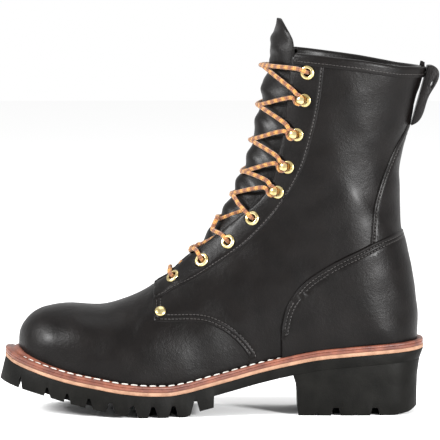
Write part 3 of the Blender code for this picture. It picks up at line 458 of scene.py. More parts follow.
def width_angle(section, half):
    """The angle from the front at which a section is this far out, above its widest place."""
    rows = interpolate(np.arange(LAST_SECTION + 1), SECTION_ROWS, section)[0]
    width, crown = (rows[4] + rows[5]) / 2, rows[8]
    share = min(abs(half) / width, 0.999)
    return math.asin(share ** (crown / 2))


def side_points(rows):
    """Places seen from the side, as x and z in metres."""
    return [(along_to_x(row[0]), HEEL_SEAT + row[1] * SHAFT_HEIGHT) for row in rows]


def feather_outline():
    """Where the last meets the seat, seen from above: x and y, from the toe round the outer side and back."""
    sections = np.concatenate([np.linspace(0.05, 2.0, 40), np.linspace(2.0, 20.0, 180)[1:]])
    sides = []
    for first, last in ((TOP, 3 * TOP), (TOP, -TOP)):
        angles = np.linspace(first, last, 120)
        crossings = []
        for section in sections:
            points = form_point(section, angles)
            height = points[:, 2] - seat(points[:, 0])
            under = np.nonzero((height[:-1] > 0) & (height[1:] <= 0))[0]
            if len(under) == 0:
                continue
            index = under[-1]
            share = height[index] / (height[index] - height[index + 1])
            crossings.append(points[index] + share * (points[index + 1] - points[index]))
        sides.append(np.array(crossings)[:, :2])
    return np.concatenate([sides[0], sides[1][::-1]])


def outward(outline):
    """Unit normals of a closed outline, pointing out of it."""
    tangent = np.roll(outline, -1, axis=0) - np.roll(outline, 1, axis=0)
    normal = np.stack([tangent[:, 1], -tangent[:, 0]], axis=1)
    normal /= np.linalg.norm(normal, axis=1, keepdims=True)
    return normal if ((outline - outline.mean(axis=0)) * normal).sum() > 0 else -normal


# How far the sole stands out from the last at each place along FORM_LENGTH
REACHES = (
    # along, reach
    (0.0, HEEL_REACH),
    (0.12, HEEL_SIDE_REACH),
    (0.36, WAIST_REACH),
    (0.55, WAIST_REACH),
    (0.72, SIDE_REACH),
    (1.0, TOE_REACH),
)
FEATHER = feather_outline()
SOLE = FEATHER + outward(FEATHER) * table(REACHES, x_to_along(FEATHER[:, 0]))
SOLE_TOE, SOLE_HEEL = float(SOLE[:, 0].min()), float(SOLE[:, 0].max())


def sole_sides(x):
    """The y of the sole's outer and inner edge at an x."""
    split = [int(SOLE[:, 0].argmin()), int(SOLE[:, 0].argmax())]
    first, second = min(split), max(split)
    halves = [SOLE[first : second + 1], np.concatenate([SOLE[second:], SOLE[: first + 1]])]
    found = []
    for half in halves:
        order = np.argsort(half[:, 0])
        found.append(float(np.interp(x, half[order, 0], half[order, 1])))
    return min(found), max(found)


def stations(start, end, count):
    """Places along x that crowd towards both ends, so that round ends stay round."""
    turn = np.linspace(0.0, math.pi, count)
    return start + (end - start) * (1 - np.cos(turn)) / 2


def surface_place(along, up):
    """The section and angle of the outer side's point that the side view shows at this place."""
    target = np.array([along_to_x(along), HEEL_SEAT + up * SHAFT_HEIGHT])
    sections = np.linspace(8.0, LAST_SECTION, 240)
    angles = np.linspace(TOP + 0.02, math.pi, 120)
    grid = form_point(*np.meshgrid(sections, angles, indexing="ij"))
    distance = np.hypot(grid[..., 0] - target[0], grid[..., 2] - target[1])
    row, column = np.unravel_index(distance.argmin(), distance.shape)
    return float(sections[row]), float(angles[column])


def seat_on_side(place, side, offset):
    """The point, outward normal and upward tangent for a fitting on one side of the boot."""
    section, angle = surface_place(*place)
    if side == "inner":
        angle = math.pi - angle
    point = Vector(surface(section, angle, offset)[0])
    normal = Vector(form_normal(section, angle)[0])
    upward = Vector(surface(section + 0.3, angle, offset)[0]) - point
    upward = (upward - upward.dot(normal) * normal).normalized()
    return point, normal, upward


def collar_height(x, y=0.0):
    """The height of the collar's cut edge over a place."""
    edge = sorted(zip(side_points(COLLAR_EDGE), COLLAR_EDGE))
    places = [point[0] for point, _ in edge]
    middle = np.interp(x, places, [point[1] for point, _ in edge])
    return float(middle + y * np.interp(x, places, [row[2] for _, row in edge]))


def section_at(angle, level, low, high):
    """The section, between two, where the last at this angle climbs through a level given for x and y."""
    for _ in range(24):
        middle = (low + high) / 2
        x, y, z = form_point(middle, angle)[0]
        if z < level(x, y):
            low = middle
        else:
            high = middle
    return (low + high) / 2


def back_x(z):
    """The x of the last's rear edge at a height."""
    sections = np.linspace(18.0, LAST_SECTION, 200)
    points = form_point(sections, -TOP)
    return float(np.interp(z, points[:, 2], points[:, 0]))


# The soft waves of worn-in leather: height in metres, radians a metre along each axis, and phase
WAVES = (
    # height, x, y, z, phase
    (0.00016, 150.0, 40.0, 95.0, 0.4),
    (0.00014, -110.0, 70.0, 170.0, 1.9),
    (0.00010, 260.0, -90.0, 60.0, 3.1),
    (0.00008, 90.0, 30.0, -310.0, 0.9),
)

# The creases behind the toe, seen from the side: all in metres, start and end as x and z
CREASES = (
    # start, end, depth, width, bulge
    ((-0.150, 0.062), (-0.132, 0.107), 0.0004, 0.0028, 0.003),
    ((-0.163, 0.060), (-0.146, 0.098), 0.0003, 0.0026, 0.003),
)

# Sheets of leather are laid out on a flat plan, in about millimetres: ALONG for each section, and ROUND for
# each radian round them. Distances are read on a grid of PLAN_STEP, and inner points stand INNER_STEP apart.
ALONG, ROUND = 14.0, 38.0
PLAN_STEP = 1.0
INNER_STEP = 2.0

# On the boot, in metres: the spacing of the points of an edge, the depth and the width of a seam's groove,
# the pitch of its stitches, how near the panel's edge it may come, and the rows of points laid beside it
SPACING = 0.0013
SEAM_DEPTH = 0.0006
SEAM_WIDTH = 0.00045
SEAM_PITCH = 0.0027
SEAM_INSET = 0.0012
SEAM_SHIFTS = (-0.0008, -0.0004, 0.0, 0.0004, 0.0008)

# A panel's rolled edge: the distance in from the cut, and the share of the full thickness there
ROLL = ((0.0, 0.25), (0.0004, 0.72), (0.0010, 1.0))

# The plan's first section, and the number of sections and of turns in the table that evens it
FIRST_SECTION = 0.02
EVEN_ROWS, EVEN_COLUMNS = 120, 721


def even_turns():
    """Turns round each section that share its girth evenly, so that the plan is about even all over."""
    sections = np.linspace(FIRST_SECTION, LAST_SECTION, EVEN_ROWS)
    turns = np.linspace(0.0, 2 * math.pi, EVEN_COLUMNS)
    points = form_point(*np.meshgrid(sections, TOP + turns, indexing="ij"))
    steps = np.linalg.norm(np.diff(points, axis=1), axis=2)
    rows = np.concatenate([np.zeros((len(sections), 1)), np.cumsum(steps, axis=1)], axis=1)
    return np.array([np.interp(turns, 2 * math.pi * row / row[-1], turns) for row in rows])


EVEN_TURNS = even_turns()


def straight_plan(u, v):
    """Section and angle of a place on the plan of a piece at the side or the back."""
    section = np.clip(u / ALONG, FIRST_SECTION, LAST_SECTION)
    turn = (v / ROUND - TOP) / (2 * math.pi)
    whole = np.floor(turn)
    across = (turn - whole) * (EVEN_COLUMNS - 1)
    along = (section - FIRST_SECTION) / (LAST_SECTION - FIRST_SECTION) * (EVEN_ROWS - 1)
    row = np.minimum(along.astype(int), EVEN_ROWS - 2)
    column = np.minimum(across.astype(int), EVEN_COLUMNS - 2)
    down, right = along - row, across - column
    low = EVEN_TURNS[row, column] * (1 - right) + EVEN_TURNS[row, column + 1] * right
    high = EVEN_TURNS[row + 1, column] * (1 - right) + EVEN_TURNS[row + 1, column + 1] * right
    return section, TOP + low * (1 - down) + high * down + 2 * math.pi * whole


def polar_plan(u, v):
    """Section and angle of a place on the toe's plan, which runs out from the toe's very tip."""
    return np.clip(np.hypot(u, v) / ALONG, FIRST_SECTION, LAST_SECTION), TOP + np.arctan2(v, u)


def inside_outline(points, outline):
    """Signed distance from points to an outline seen from the side, positive inside."""
    outline = np.asarray(outline, float)
    nearest = np.full(len(points), 1.0)
    odd = np.zeros(len(points), bool)
    for start, end in zip(outline, np.roll(outline, -1, axis=0)):
        line = end - start
        if line @ line == 0:
            continue
        share = np.clip((points - start) @ line / (line @ line), 0.0, 1.0)
        nearest = np.minimum(nearest, np.linalg.norm(points - start - share[:, None] * line, axis=1))
        crosses = (start[1] > points[:, 1]) != (end[1] > points[:, 1])
        if line[1] != 0:
            reach = start[0] + (points[:, 1] - start[1]) * line[0] / line[1]
            odd ^= crosses & (points[:, 0] < reach)
    return np.where(odd, nearest, -nearest)


def side_distance(points, outline):
    """How far points are inside an outline seen from the side."""
    flat = points[..., [0, 2]].reshape(-1, 2)
    return inside_outline(flat, outline).reshape(points.shape[:-1])


def contours(field):
    """Closed loops where a grid of numbers passes through zero, as places on the grid."""
    links, places = {}, {}

    def cross(key):
        if key not in places:
            i, j, way = key
            first = field[i, j]
            second = field[i + 1, j] if way == 0 else field[i, j + 1]
            share = first / (first - second)
            places[key] = (i + share, float(j)) if way == 0 else (float(i), j + share)
        return key

    def link(first, second):
        links.setdefault(cross(first), []).append(cross(second))
        links.setdefault(second, []).append(first)

    up = field > 0
    total = up[:-1, :-1].astype(int) + up[1:, :-1] + up[:-1, 1:] + up[1:, 1:]
    for i, j in zip(*np.nonzero((total > 0) & (total < 4))):
        keys = [(i, j, 0), (i + 1, j, 1), (i, j + 1, 0), (i, j, 1)]
        corners = [up[i, j], up[i + 1, j], up[i + 1, j + 1], up[i, j + 1]]
        cut = [key for key, a, b in zip(keys, corners, corners[1:] + corners[:1]) if a != b]
        link(cut[0], cut[1])
        if len(cut) == 4:
            link(cut[2], cut[3])
    loops = []
    while links:
        start = next(iter(links))
        loop, here = [start], start
        while True:
            after = links[here].pop()
            links[after].remove(here)
            if not links[here]:
                del links[here]
            if after == start:
                links.pop(start, None)
                break
            loop.append(after)
            here = after
        loops.append(np.array([places[key] for key in loop]))
    return loops


def area_of(loop):
    """The signed area inside a closed loop."""
    after = np.roll(loop, -1, axis=0)
    return 0.5 * float((loop[:, 0] * after[:, 1] - loop[:, 1] * after[:, 0]).sum())


def smooth_outline(outline, times):
    """A closed outline with each point drawn towards its neighbours, several times over."""
    for _ in range(times):
        outline = (np.roll(outline, 1, axis=0) + 2 * outline + np.roll(outline, -1, axis=0)) / 4
    return outline


def run_along(points):
    """The distance of each point from the first one, along the line through them."""
    return np.concatenate([[0.0], np.cumsum(np.linalg.norm(np.diff(points, axis=0), axis=1))])


def read_line(at, run, points):
    """Places on the line through points, at distances along it."""
    return np.stack([np.interp(at, run, column) for column in points.T], axis=1)


def even_loop(loop, plan, spacing):
    """A loop on the plan with its points this far apart on the boot."""
    loop = smooth_outline(loop, 2)
    closed = np.concatenate([loop, loop[:1]])
    run = run_along(form_point(*plan(closed[:, 0], closed[:, 1])))
    count = max(8, int(run[-1] / spacing))
    return read_line(np.linspace(0.0, run[-1], count, endpoint=False), run, closed)


def linked(name, data):
    """A new object in the scene that holds this mesh, light or camera."""
    made = bpy.data.objects.new(name, data)
    bpy.context.scene.collection.objects.link(made)
    return made


def dress(mesh, surface_material, sharp):
    """Gives a mesh its material and smooth shading, with edges over so many degrees kept sharp."""
    mesh.materials.clear()
    mesh.materials.append(surface_material)
    mesh.shade_smooth()
    mesh.set_sharp_from_angle(angle=math.radians(sharp))


def new_object(name, vertices, faces, surface_material, sharp=35.0):
    """A mesh object from its points and faces."""
    mesh = bpy.data.meshes.new(name)
    mesh.from_pydata(np.asarray(vertices, float).tolist(), [], faces)
    mesh.validate()
    mesh.update()
    dress(mesh, surface_material, sharp)
    return linked(name, mesh)


def relief(points):
    """Soft unevenness and creases of worn-in leather, as a height to add."""
    x, y, z = points[..., 0], points[..., 1], points[..., 2]
    lift = np.zeros(x.shape)
    for height, along, across, up, phase in WAVES:
        lift = lift + height * np.sin(along * x + across * y + up * z + phase)
    for crease in CREASES:
        lift = lift + crease_lift(points, *crease)
    return lift


def crease_lift(points, start, end, depth, width, bulge):
    """A soft trough along a bent line seen from the side, with a low ridge on each side of it."""
    x, z = points[..., 0], points[..., 2]
    start, end = np.array(start), np.array(end)
    line = end - start
    length = np.linalg.norm(line)
    unit = line / length
    across = np.array([-unit[1], unit[0]])
    run = ((x - start[0]) * unit[0] + (z - start[1]) * unit[1]) / length
    off = (x - start[0]) * across[0] + (z - start[1]) * across[1]
    off = off - bulge * 4 * run * (1 - run)
    fade = np.exp(-(np.clip(np.abs(run - 0.5) - 0.28, 0.0, None) / 0.16) ** 2)
    trough = np.exp(-((off / width) ** 2))
    ridges = np.exp(-(((off - 1.9 * width) / (1.3 * width)) ** 2))
    ridges = ridges + np.exp(-(((off + 1.9 * width) / (1.3 * width)) ** 2))
    return fade * depth * (0.45 * ridges - trough)


def line_distance(points, line):
    """Distance from a line, both seen from the side."""
    flat = points[..., (0, 2)]
    nearest = np.full(flat.shape[:-1], 1.0)
    for start, end in zip(np.asarray(line[:-1]), np.asarray(line[1:])):
        way = end - start
        share = np.clip((flat - start) @ way / (way @ way), 0.0, 1.0)
        nearest = np.minimum(nearest, np.linalg.norm(flat - start - share[..., None] * way, axis=-1))
    return nearest


def roll_share(value):
    """The share of a panel's thickness at a distance in from its cut edge."""
    return np.interp(value, [distance for distance, _ in ROLL], [share for _, share in ROLL])


def grid_loops(values, plan, window):
    """Even closed loops on the plan, where a grid of distances over a window passes through zero."""
    found = [loop for loop in contours(np.pad(values, 1, constant_values=-0.001)) if abs(area_of(loop)) > 6.0]
    corner = np.array([window[0], window[2]])
    return [even_loop(corner + (loop - 1) * PLAN_STEP, plan, SPACING) for loop in found]


def seam_rows(field, from_line, line, level, plan, window):
    """Rows of points on the plan, inside the panel, that run at this level beside a seam's line."""
    rows = []
    for loop in grid_loops(np.minimum(field - SEAM_INSET, from_line - level), plan, window):
        form = form_point(*plan(loop[:, 0], loop[:, 1]))
        on = np.abs(line_distance(form, line) - level) < 0.00018
        rows += [loop[run] for run in runs_of(on)]
    return rows


def inner_points(window, keep):
    """A triangular grid of points over a window, where the window's grid of truths keeps them."""
    rows = []
    for number, v in enumerate(np.arange(window[2], window[3], INNER_STEP * math.sqrt(3) / 2)):
        u = np.arange(window[0] + (number % 2) * INNER_STEP / 2, window[1], INNER_STEP)
        rows.append(np.stack([u, np.full(len(u), v)], axis=1))
    points = np.concatenate(rows)
    at = np.round((points - (window[0], window[2])) / PLAN_STEP).astype(int)
    at = at.clip(0, np.array(keep.shape) - 1)
    return points[keep[at[:, 0], at[:, 1]]]


def skirted(points, lower, faces):
    """A sheet of triangles with a skirt down to the lower points all along its rim."""
    pairs = {}
    for a, b, c in faces:
        pairs.update({(a, b): True, (b, c): True, (c, a): True})
    rim = [(a, b) for a, b in pairs if (b, a) not in pairs]
    used = sorted({index for edge in rim for index in edge})
    place = {index: len(points) + k for k, index in enumerate(used)}
    skirt = [(b, a, place[a], place[b]) for a, b in rim]
    return np.concatenate([points, lower[used]]), faces + skirt


def leather_sheet(name, plan, window, region, base, thick, skirt, surface_material, seams=()):
    """One panel with a rolled edge, cut from the last's surface where region is above zero.

    Returns the object and its seams as rows of points on the plan. region is a distance in metres, thick is
    the panel's own thickness above base, skirt is how deep its cut edge runs, and seams holds lines seen
    from the side with the distances of their stitching.
    """
    u = np.arange(window[0], window[1] + PLAN_STEP, PLAN_STEP)
    v = np.arange(window[2], window[3] + PLAN_STEP, PLAN_STEP)
    section, angle = plan(*np.meshgrid(u, v, indexing="ij"))
    points = form_point(section, angle)
    field = region(points, section, angle)
    verts, edges, stitched = [], [], []

    def add_row(row, closed):
        first, count = len(verts), len(row)
        verts.extend(row.tolist())
        edges.extend((first + k, first + (k + 1) % count) for k in range(count if closed else count - 1))

    outlines = [grid_loops(field - distance, plan, window) for distance, _ in ROLL]
    for loops in outlines:
        for loop in loops:
            add_row(loop, True)
    away = np.full(field.shape, 1.0)
    for line, distances in seams:
        from_line = line_distance(points, line)
        for distance in distances:
            away = np.minimum(away, np.abs(from_line - distance))
            for shift in SEAM_SHIFTS:
                rows = seam_rows(field, from_line, line, distance + shift, plan, window)
                for row in rows:
                    add_row(row, False)
                stitched += rows if shift == 0 else []
    verts += inner_points(window, (field > ROLL[-1][0] + 0.0008) & (away > 0.0017)).tolist()
    made = delaunay_2d_cdt([Vector(place) for place in verts], edges, [], 0, 1e-4, True)
    flat = np.array([tuple(place) for place in made[0]])
    faces = np.array([tuple(face) for face in made[2]])
    faces = faces[plan_inside(flat[faces].mean(axis=1), outlines[0])]
    section, angle = plan(flat[:, 0], flat[:, 1])
    form, normal = form_point(section, angle), form_normal(section, angle)
    share = roll_share(region(form, section, angle))
    for line, distances in seams:
        from_line = line_distance(form, line)
        for distance in distances:
            share = share - SEAM_DEPTH / thick * np.exp(-(((from_line - distance) / SEAM_WIDTH) ** 2))
    worn = relief(form)
    points = form + normal * (base + thick * share + worn)[:, None]
    turn = np.cross(points[faces[:, 1]] - points[faces[:, 0]], points[faces[:, 2]] - points[faces[:, 0]])
    flip = (turn * normal[faces[:, 0]]).sum(axis=1) < 0
    faces[flip] = faces[flip][:, ::-1]
    points, faces = skirted(points, form + normal * (skirt + worn)[:, None], faces.tolist())
    return new_object(name, points, faces, surface_material), stitched


def runs_of(on):
    """The unbroken stretches of a closed row where on holds, as index lists."""
    if on.all():
        return [list(range(len(on)))]
    first = int(np.nonzero(~on)[0][0])
    runs, now = [], []
    for index in [(first + k) % len(on) for k in range(len(on))]:
        if on[index]:
            now.append(index)
        elif now:
            runs.append(now)
            now = []
    return [run for run in runs + [now] if len(run) > 4]


def plan_inside(points, loops):
    """Which points on the plan are inside the loops."""
    odd = np.zeros(len(points), bool)
    for loop in loops:
        for start, end in zip(loop, np.roll(loop, -1, axis=0)):
            crosses = (start[1] > points[:, 1]) != (end[1] > points[:, 1])
            if not crosses.any():
                continue
            reach = start[0] + (points[:, 1] - start[1]) * (end[0] - start[0]) / (end[1] - start[1])
            odd ^= crosses & (points[:, 0] < reach)
    return odd


# How high above the seat the panels end, and the radius of the holes that the eyelets sit in
LOW_SEAT = 0.001
HOLE_RADIUS = 0.0036
SPREAD_PLACES = np.linspace(11, 31, 81)
SPREADS = np.array([width_angle(s, table(THROAT, s)[0, 0] * SHAFT_WIDTH) for s in SPREAD_PLACES])


def throat_spread(section):
    """The angle from the front to the throat's cut edge."""
    return np.interp(section, SPREAD_PLACES, SPREADS)


def throat_distance(section, angle):
    """About how far a place is outside the throat's cut edge, in metres."""
    beside = (np.abs(angle - TOP) - throat_spread(section)) * 0.042
    return np.maximum(beside, (THROAT[0][0] - section) * 0.013)


def above_seat(points):
    x = points[..., 0]
    return points[..., 2] - seat(x.ravel()).reshape(x.shape) - LOW_SEAT


COLLAR_X = np.array([point[0] for point in side_points(COLLAR_EDGE)])[::-1]
COLLAR_Z = np.array([point[1] for point in side_points(COLLAR_EDGE)])[::-1]
COLLAR_LEAN = np.array([row[2] for row in COLLAR_EDGE])[::-1]


def below_collar(points):
    x, y, z = points[..., 0], points[..., 1], points[..., 2]
    order = np.argsort(COLLAR_X)
    edge = np.interp(x, COLLAR_X[order], COLLAR_Z[order])
    return edge + y * np.interp(x, COLLAR_X[order], COLLAR_LEAN[order]) - z


SEATS = {
    (side, number): seat_on_side(place, side, 0.0)
    for side in ("outer", "inner")
    for number, place in enumerate(EYELET_PLACES)
}


def outside_holes(points, side):
    """Distance outside the eyelet holes of one side."""
    nearest = np.full(points.shape[:-1], 1.0)
    for (which, _), (point, normal, _) in SEATS.items():
        if which != side:
            continue
        off = points - np.array(point)
        along = off @ np.array(normal)
        from_axis = np.sqrt(np.maximum((off**2).sum(axis=-1) - along**2, 0))
        nearest = np.minimum(nearest, from_axis - HOLE_RADIUS)
    return nearest


def closed_side(edge):
    """A side outline from an edge's last point back along the seat, and up and over."""
    xs = np.linspace(edge[-1][0], HEEL_BACK + 0.02, 12)
    return edge + [(float(x), float(z) + LOW_SEAT) for x, z in zip(xs, seat(xs))]


def rounded(line):
    """A line with its corners cut three times over, so that its parallels have no corners either."""
    line = np.asarray(line, float)
    for _ in range(3):
        cut = np.stack([line[:-1] * 0.75 + line[1:] * 0.25, line[:-1] * 0.25 + line[1:] * 0.75], axis=1)
        line = np.concatenate([line[:1], cut.reshape(-1, 2), line[-1:]])
    return [tuple(point) for point in line]


QUARTER_FRONT = side_points(QUARTER_EDGE)[:2]
QUARTER_LINE = rounded(side_points(QUARTER_EDGE))
QUARTER_SHAPE = closed_side(QUARTER_LINE) + [(HEEL_BACK + 0.02, 0.4), (QUARTER_LINE[0][0], 0.4)]
COUNTER_LINE = rounded(side_points(COUNTER_EDGE))
COUNTER_SHAPE = COUNTER_LINE + closed_side([COUNTER_LINE[0]])[::-1]
BACKSTAY_LINE = rounded(side_points(BACKSTAY_EDGE))
BACKSTAY_TOP = collar_height(BACKSTAY_LINE[-1][0]) - BINDING_DROP + 0.002
BACKSTAY_SHAPE = BACKSTAY_LINE[:-1] + [
    (BACKSTAY_LINE[-1][0], BACKSTAY_TOP),
    (0.09, BACKSTAY_TOP),
    (0.09, 0.11),
]

# The stitched edge of the facings, seen from the side: x and z in millimetres from the collar down.
EYESTAY_EDGE = (
    (-21.0, 290.0),
    (-22.3, 261.8),
    (-26.2, 226.8),
    (-32.4, 200.5),
    (-39.3, 177.8),
    (-54.6, 152.1),
    (-75.4, 128.7),
    (-95.9, 113.2),
    (-116.8, 99.3),
    (-128.5, 93.4),
    (-141.5, 86.5),
    (-150.0, 83.0),
)
EYESTAY_LINE = rounded([(x / 1000, z / 1000) for x, z in EYESTAY_EDGE])
EYESTAY_SHAPE = EYESTAY_LINE + [(-0.2, 0.083), (-0.2, 0.3)]


def side_limit(angle, side):
    """Distance ahead of the rear's middle line."""
    return (3 * TOP - angle) * 0.05 + 0.001 if side == "outer" else (angle + TOP) * 0.05 + 0.001


def vamp_region(points, section, angle):
    hidden = 0.010 - side_distance(points, QUARTER_SHAPE)
    throat = throat_distance(section, angle)
    return np.minimum.reduce([above_seat(points), hidden, throat])


def quarter_region(side):
    def region(points, section, angle):
        return np.minimum.reduce(
            [
                side_distance(points, QUARTER_SHAPE),
                below_collar(points),
                throat_distance(section, angle) - 0.002,
                outside_holes(points, side),
                side_limit(angle, side),
            ]
        )

    return region


def eyestay_region(side):
    def region(points, section, angle):
        return np.minimum.reduce(
            [
                side_distance(points, EYESTAY_SHAPE),
                side_distance(points, QUARTER_SHAPE),
                below_collar(points) - 0.001,
                throat_distance(section, angle),
                outside_holes(points, side),
            ]
        )

    return region


def counter_region(points, section, angle):
    return side_distance(points, COUNTER_SHAPE)


def backstay_region(points, section, angle):
    over_counter = side_distance(points, COUNTER_SHAPE)
    return np.minimum(side_distance(points, BACKSTAY_SHAPE), 0.004 - over_counter)


def ride(piece, slot, *nodes):
    """Puts a piece on the boot's body and hides the solids that it stands in for. The slot is not used."""
    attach(piece, "root")
    if nodes:
        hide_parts(*nodes)


def stitch_lines(rows, plan, offset):
    """Points and normals along each seam."""
    lines = []
    for places in rows:
        section, angle = plan(places[:, 0], places[:, 1])
        form, normal = form_point(section, angle), form_normal(section, angle)
        lines.append((form + normal * (offset + relief(form))[:, None], normal))
    return lines


def capsules(name, lines, pitch, length, radius, surface_material, slant=0.0):
    """Stitches along lines, one joined mesh: each a short rounded bead of thread, half sunk."""
    template, faces = capsule(length, radius)
    vertices, all_faces = [], []
    for points, normals in lines:
        run = run_along(points)
        at = np.arange(pitch / 2, run[-1], pitch)
        place, normal = read_line(at, run, points), read_line(at, run, normals)
        forward = unit(read_line(at + 0.0008, run, points) - read_line(at - 0.0008, run, points))
        sideways = unit(np.cross(normal, forward))
        turned = forward * math.cos(slant) + sideways * math.sin(slant)
        other = sideways * math.cos(slant) - forward * math.sin(slant)
        for centre, *basis in zip(place, turned, other, np.cross(turned, other)):
            first = len(vertices)
            vertices += (centre + template @ np.stack(basis)).tolist()
            all_faces += [tuple(first + index for index in face) for face in faces]
    return new_object(name, vertices, all_faces, surface_material, 80.0)


def unit(vectors):
    """The same vectors at a length of one."""
    return vectors / np.maximum(np.linalg.norm(vectors, axis=-1, keepdims=True), 1e-9)


def ring_turns(count):
    """Angles evenly round a circle."""
    return [2 * math.pi * number / count for number in range(count)]


def capsule(length, radius):
    """The points and faces of one bead along x, a little flat."""
    rows = ((-0.5, 0.35), (-0.36, 0.85), (0.0, 1.0), (0.36, 0.85), (0.5, 0.35))
    turns = ring_turns(6)
    vertices = [
        (along * length, math.cos(turn) * radius * thick, math.sin(turn) * radius * thick * 0.8)
        for along, thick in rows
        for turn in turns
    ]
    return np.array(vertices), capped_faces(len(rows), len(turns))


def strip_faces(rings, points, closed=True, looped=False):
    """Faces between neighbouring rings of points. looped joins the last ring to the first as well."""
    faces = []
    for ring in range(rings if looped else rings - 1):
        low, high = ring * points, (ring + 1) % rings * points
        for point in range(points if closed else points - 1):
            after = (point + 1) % points
            faces.append((low + point, low + after, high + after, high + point))
    return faces


def capped_faces(rings, points):
    """Faces between rings of points, with the first and the last ring closed."""
    last = (rings - 1) * points
    ends = [tuple(range(points))[::-1], tuple(range(last, last + points))]
    return strip_faces(rings, points) + ends


def even_outline(outline, spacing):
    """A closed outline with its points evenly spaced."""
    closed = np.concatenate([outline, outline[:1]])
    run = run_along(closed)
    count = int(run[-1] / spacing)
    return read_line(np.arange(0.0, run[-1], run[-1] / count)[:count], run, closed)


RIM = smooth_outline(even_outline(SOLE, 0.0015), 12)
RIM_NORMAL = outward(RIM)
RIM_REACH = table(REACHES, x_to_along(RIM[:, 0]))[:, 0]


def swept_layer(name, profile, level, surface_material):
    """A layer round the sole. Its profile holds the share of the reach inwards, an extra, and the rise."""
    rings = []
    for inwards, extra, rise in profile:
        place = RIM - RIM_NORMAL * (inwards * RIM_REACH + extra)[:, None]
        rings.append(np.stack([place[:, 0], place[:, 1], level(RIM[:, 0]) + rise], axis=1))
    vertices = np.stack(rings, axis=1).reshape(-1, 3)
    faces = strip_faces(len(RIM), len(profile), looped=True)
    return fix_normals(new_object(name, vertices, faces, surface_material, 40.0))


def fix_normals(made):
    """Turns all the faces of an object outwards, and gives the object back."""
    shape = bmesh.new()
    shape.from_mesh(made.data)
    bmesh.ops.recalc_face_normals(shape, faces=shape.faces)
    shape.to_mesh(made.data)
    shape.free()
    return made


def revolved(name, profile, seated, surface_material, closed=True):
    """A profile of radius and height turned about a fitting's normal, with its ends closed if it is open."""
    point, normal, upward = seated[:3]
    sideways = normal.cross(upward)
    segments, count = 32, len(profile)
    vertices = []
    for turn in ring_turns(segments):
        spoke = math.cos(turn) * upward + math.sin(turn) * sideways
        vertices += [tuple(point + spoke * radius + normal * height) for radius, height in profile]
    faces = strip_faces(segments, count, closed, looped=True)
    if not closed:
        faces.append(tuple(range(0, segments * count, count)))
        faces.append(tuple(range(count - 1, segments * count, count))[::-1])
    return fix_normals(new_object(name, vertices, faces, surface_material, 50.0))


def joined(name, pieces):
    """One mesh object from several."""
    shape = bmesh.new()
    for piece in pieces:
        shape.from_mesh(piece.data)
    mesh = bpy.data.meshes.new(name)
    shape.to_mesh(mesh)
    shape.free()
    for piece in pieces:
        bpy.data.objects.remove(piece)
    return linked(name, mesh)


def make_panels(leather, thread):
    """The vamp, the quarters, the facings, the counter pocket and the back strap, with their stitching."""
    rows = []

    def panel(name, window, region, base, thick, skirt, seams, sunk, *nodes):
        piece, lines = leather_sheet(name, straight_plan, window, region, base, thick, skirt, leather, seams)
        ride(piece, "black_leather", *nodes)
        rows.extend(stitch_lines(lines, straight_plan, base + thick - sunk))

    top = QUARTER_STEP
    window = (-240.0, 200.0, -290.0, 290.0)
    vamp, _ = leather_sheet("vamp", polar_plan, window, vamp_region, -0.0010, 0.0010, -WALL, leather)
    ride(vamp, "black_leather", "upper")
    for side, left, right in (("outer", 57.0, 183.0), ("inner", -63.0, 63.0)):
        window = (122.0, 434.0, left, right)
        seams = ((QUARTER_LINE, (0.0022, 0.0052)),)
        panel(f"quarter_{side}", window, quarter_region(side), top - 0.0013, 0.0010, -0.0010, seams, 0.0003)
        seams = ((EYESTAY_LINE, (0.0020,)), (QUARTER_FRONT, (0.0020,)))
        panel(f"eyestay_{side}", window, eyestay_region(side), top - 0.0008, 0.0011, -WALL, seams, 0.0003)
    window = (150.0, 380.0, 70.0, 290.0)
    seams = ((COUNTER_LINE, (0.0030, 0.0056)),)
    base, thick = top - 0.0003, COUNTER + 0.0003
    panel("counter_pocket", window, counter_region, base, thick, -0.0005, seams, 0.0004, "heel_counter")
    window = (200.0, 434.0, 140.0, 218.0)
    seams = ((BACKSTAY_LINE, (0.0022,)),)
    panel("back_strap", window, backstay_region, base, BACKSTAY, -0.0005, seams, 0.0004, "backstay")
    seams = capsules("seam_stitches", rows, SEAM_PITCH, 0.0020, 0.00042, thread)
    ride(seams, "black_leather")


def make_lining(lining):
    """The inside of the shaft and foot, from facing to facing round the back."""
    columns, rows = 90, 70
    start = 10.5
    vertices = []
    for share in np.arange(columns) / (columns - 1):
        turn = TOP + 0.30 + (2 * math.pi - 0.60) * share
        end = section_at(turn, collar_height, 20.0, float(LAST_SECTION))
        sections = start + (end - start) * (np.arange(rows) / (rows - 1))
        spread = throat_spread(sections)
        angles = TOP + spread + (2 * math.pi - 2 * spread) * share
        vertices += surface(sections, angles, -WALL - 0.0001).tolist()
    made = new_object("lining", vertices, strip_faces(columns, rows, closed=False), lining, 60.0)
    ride(made, "black_leather")


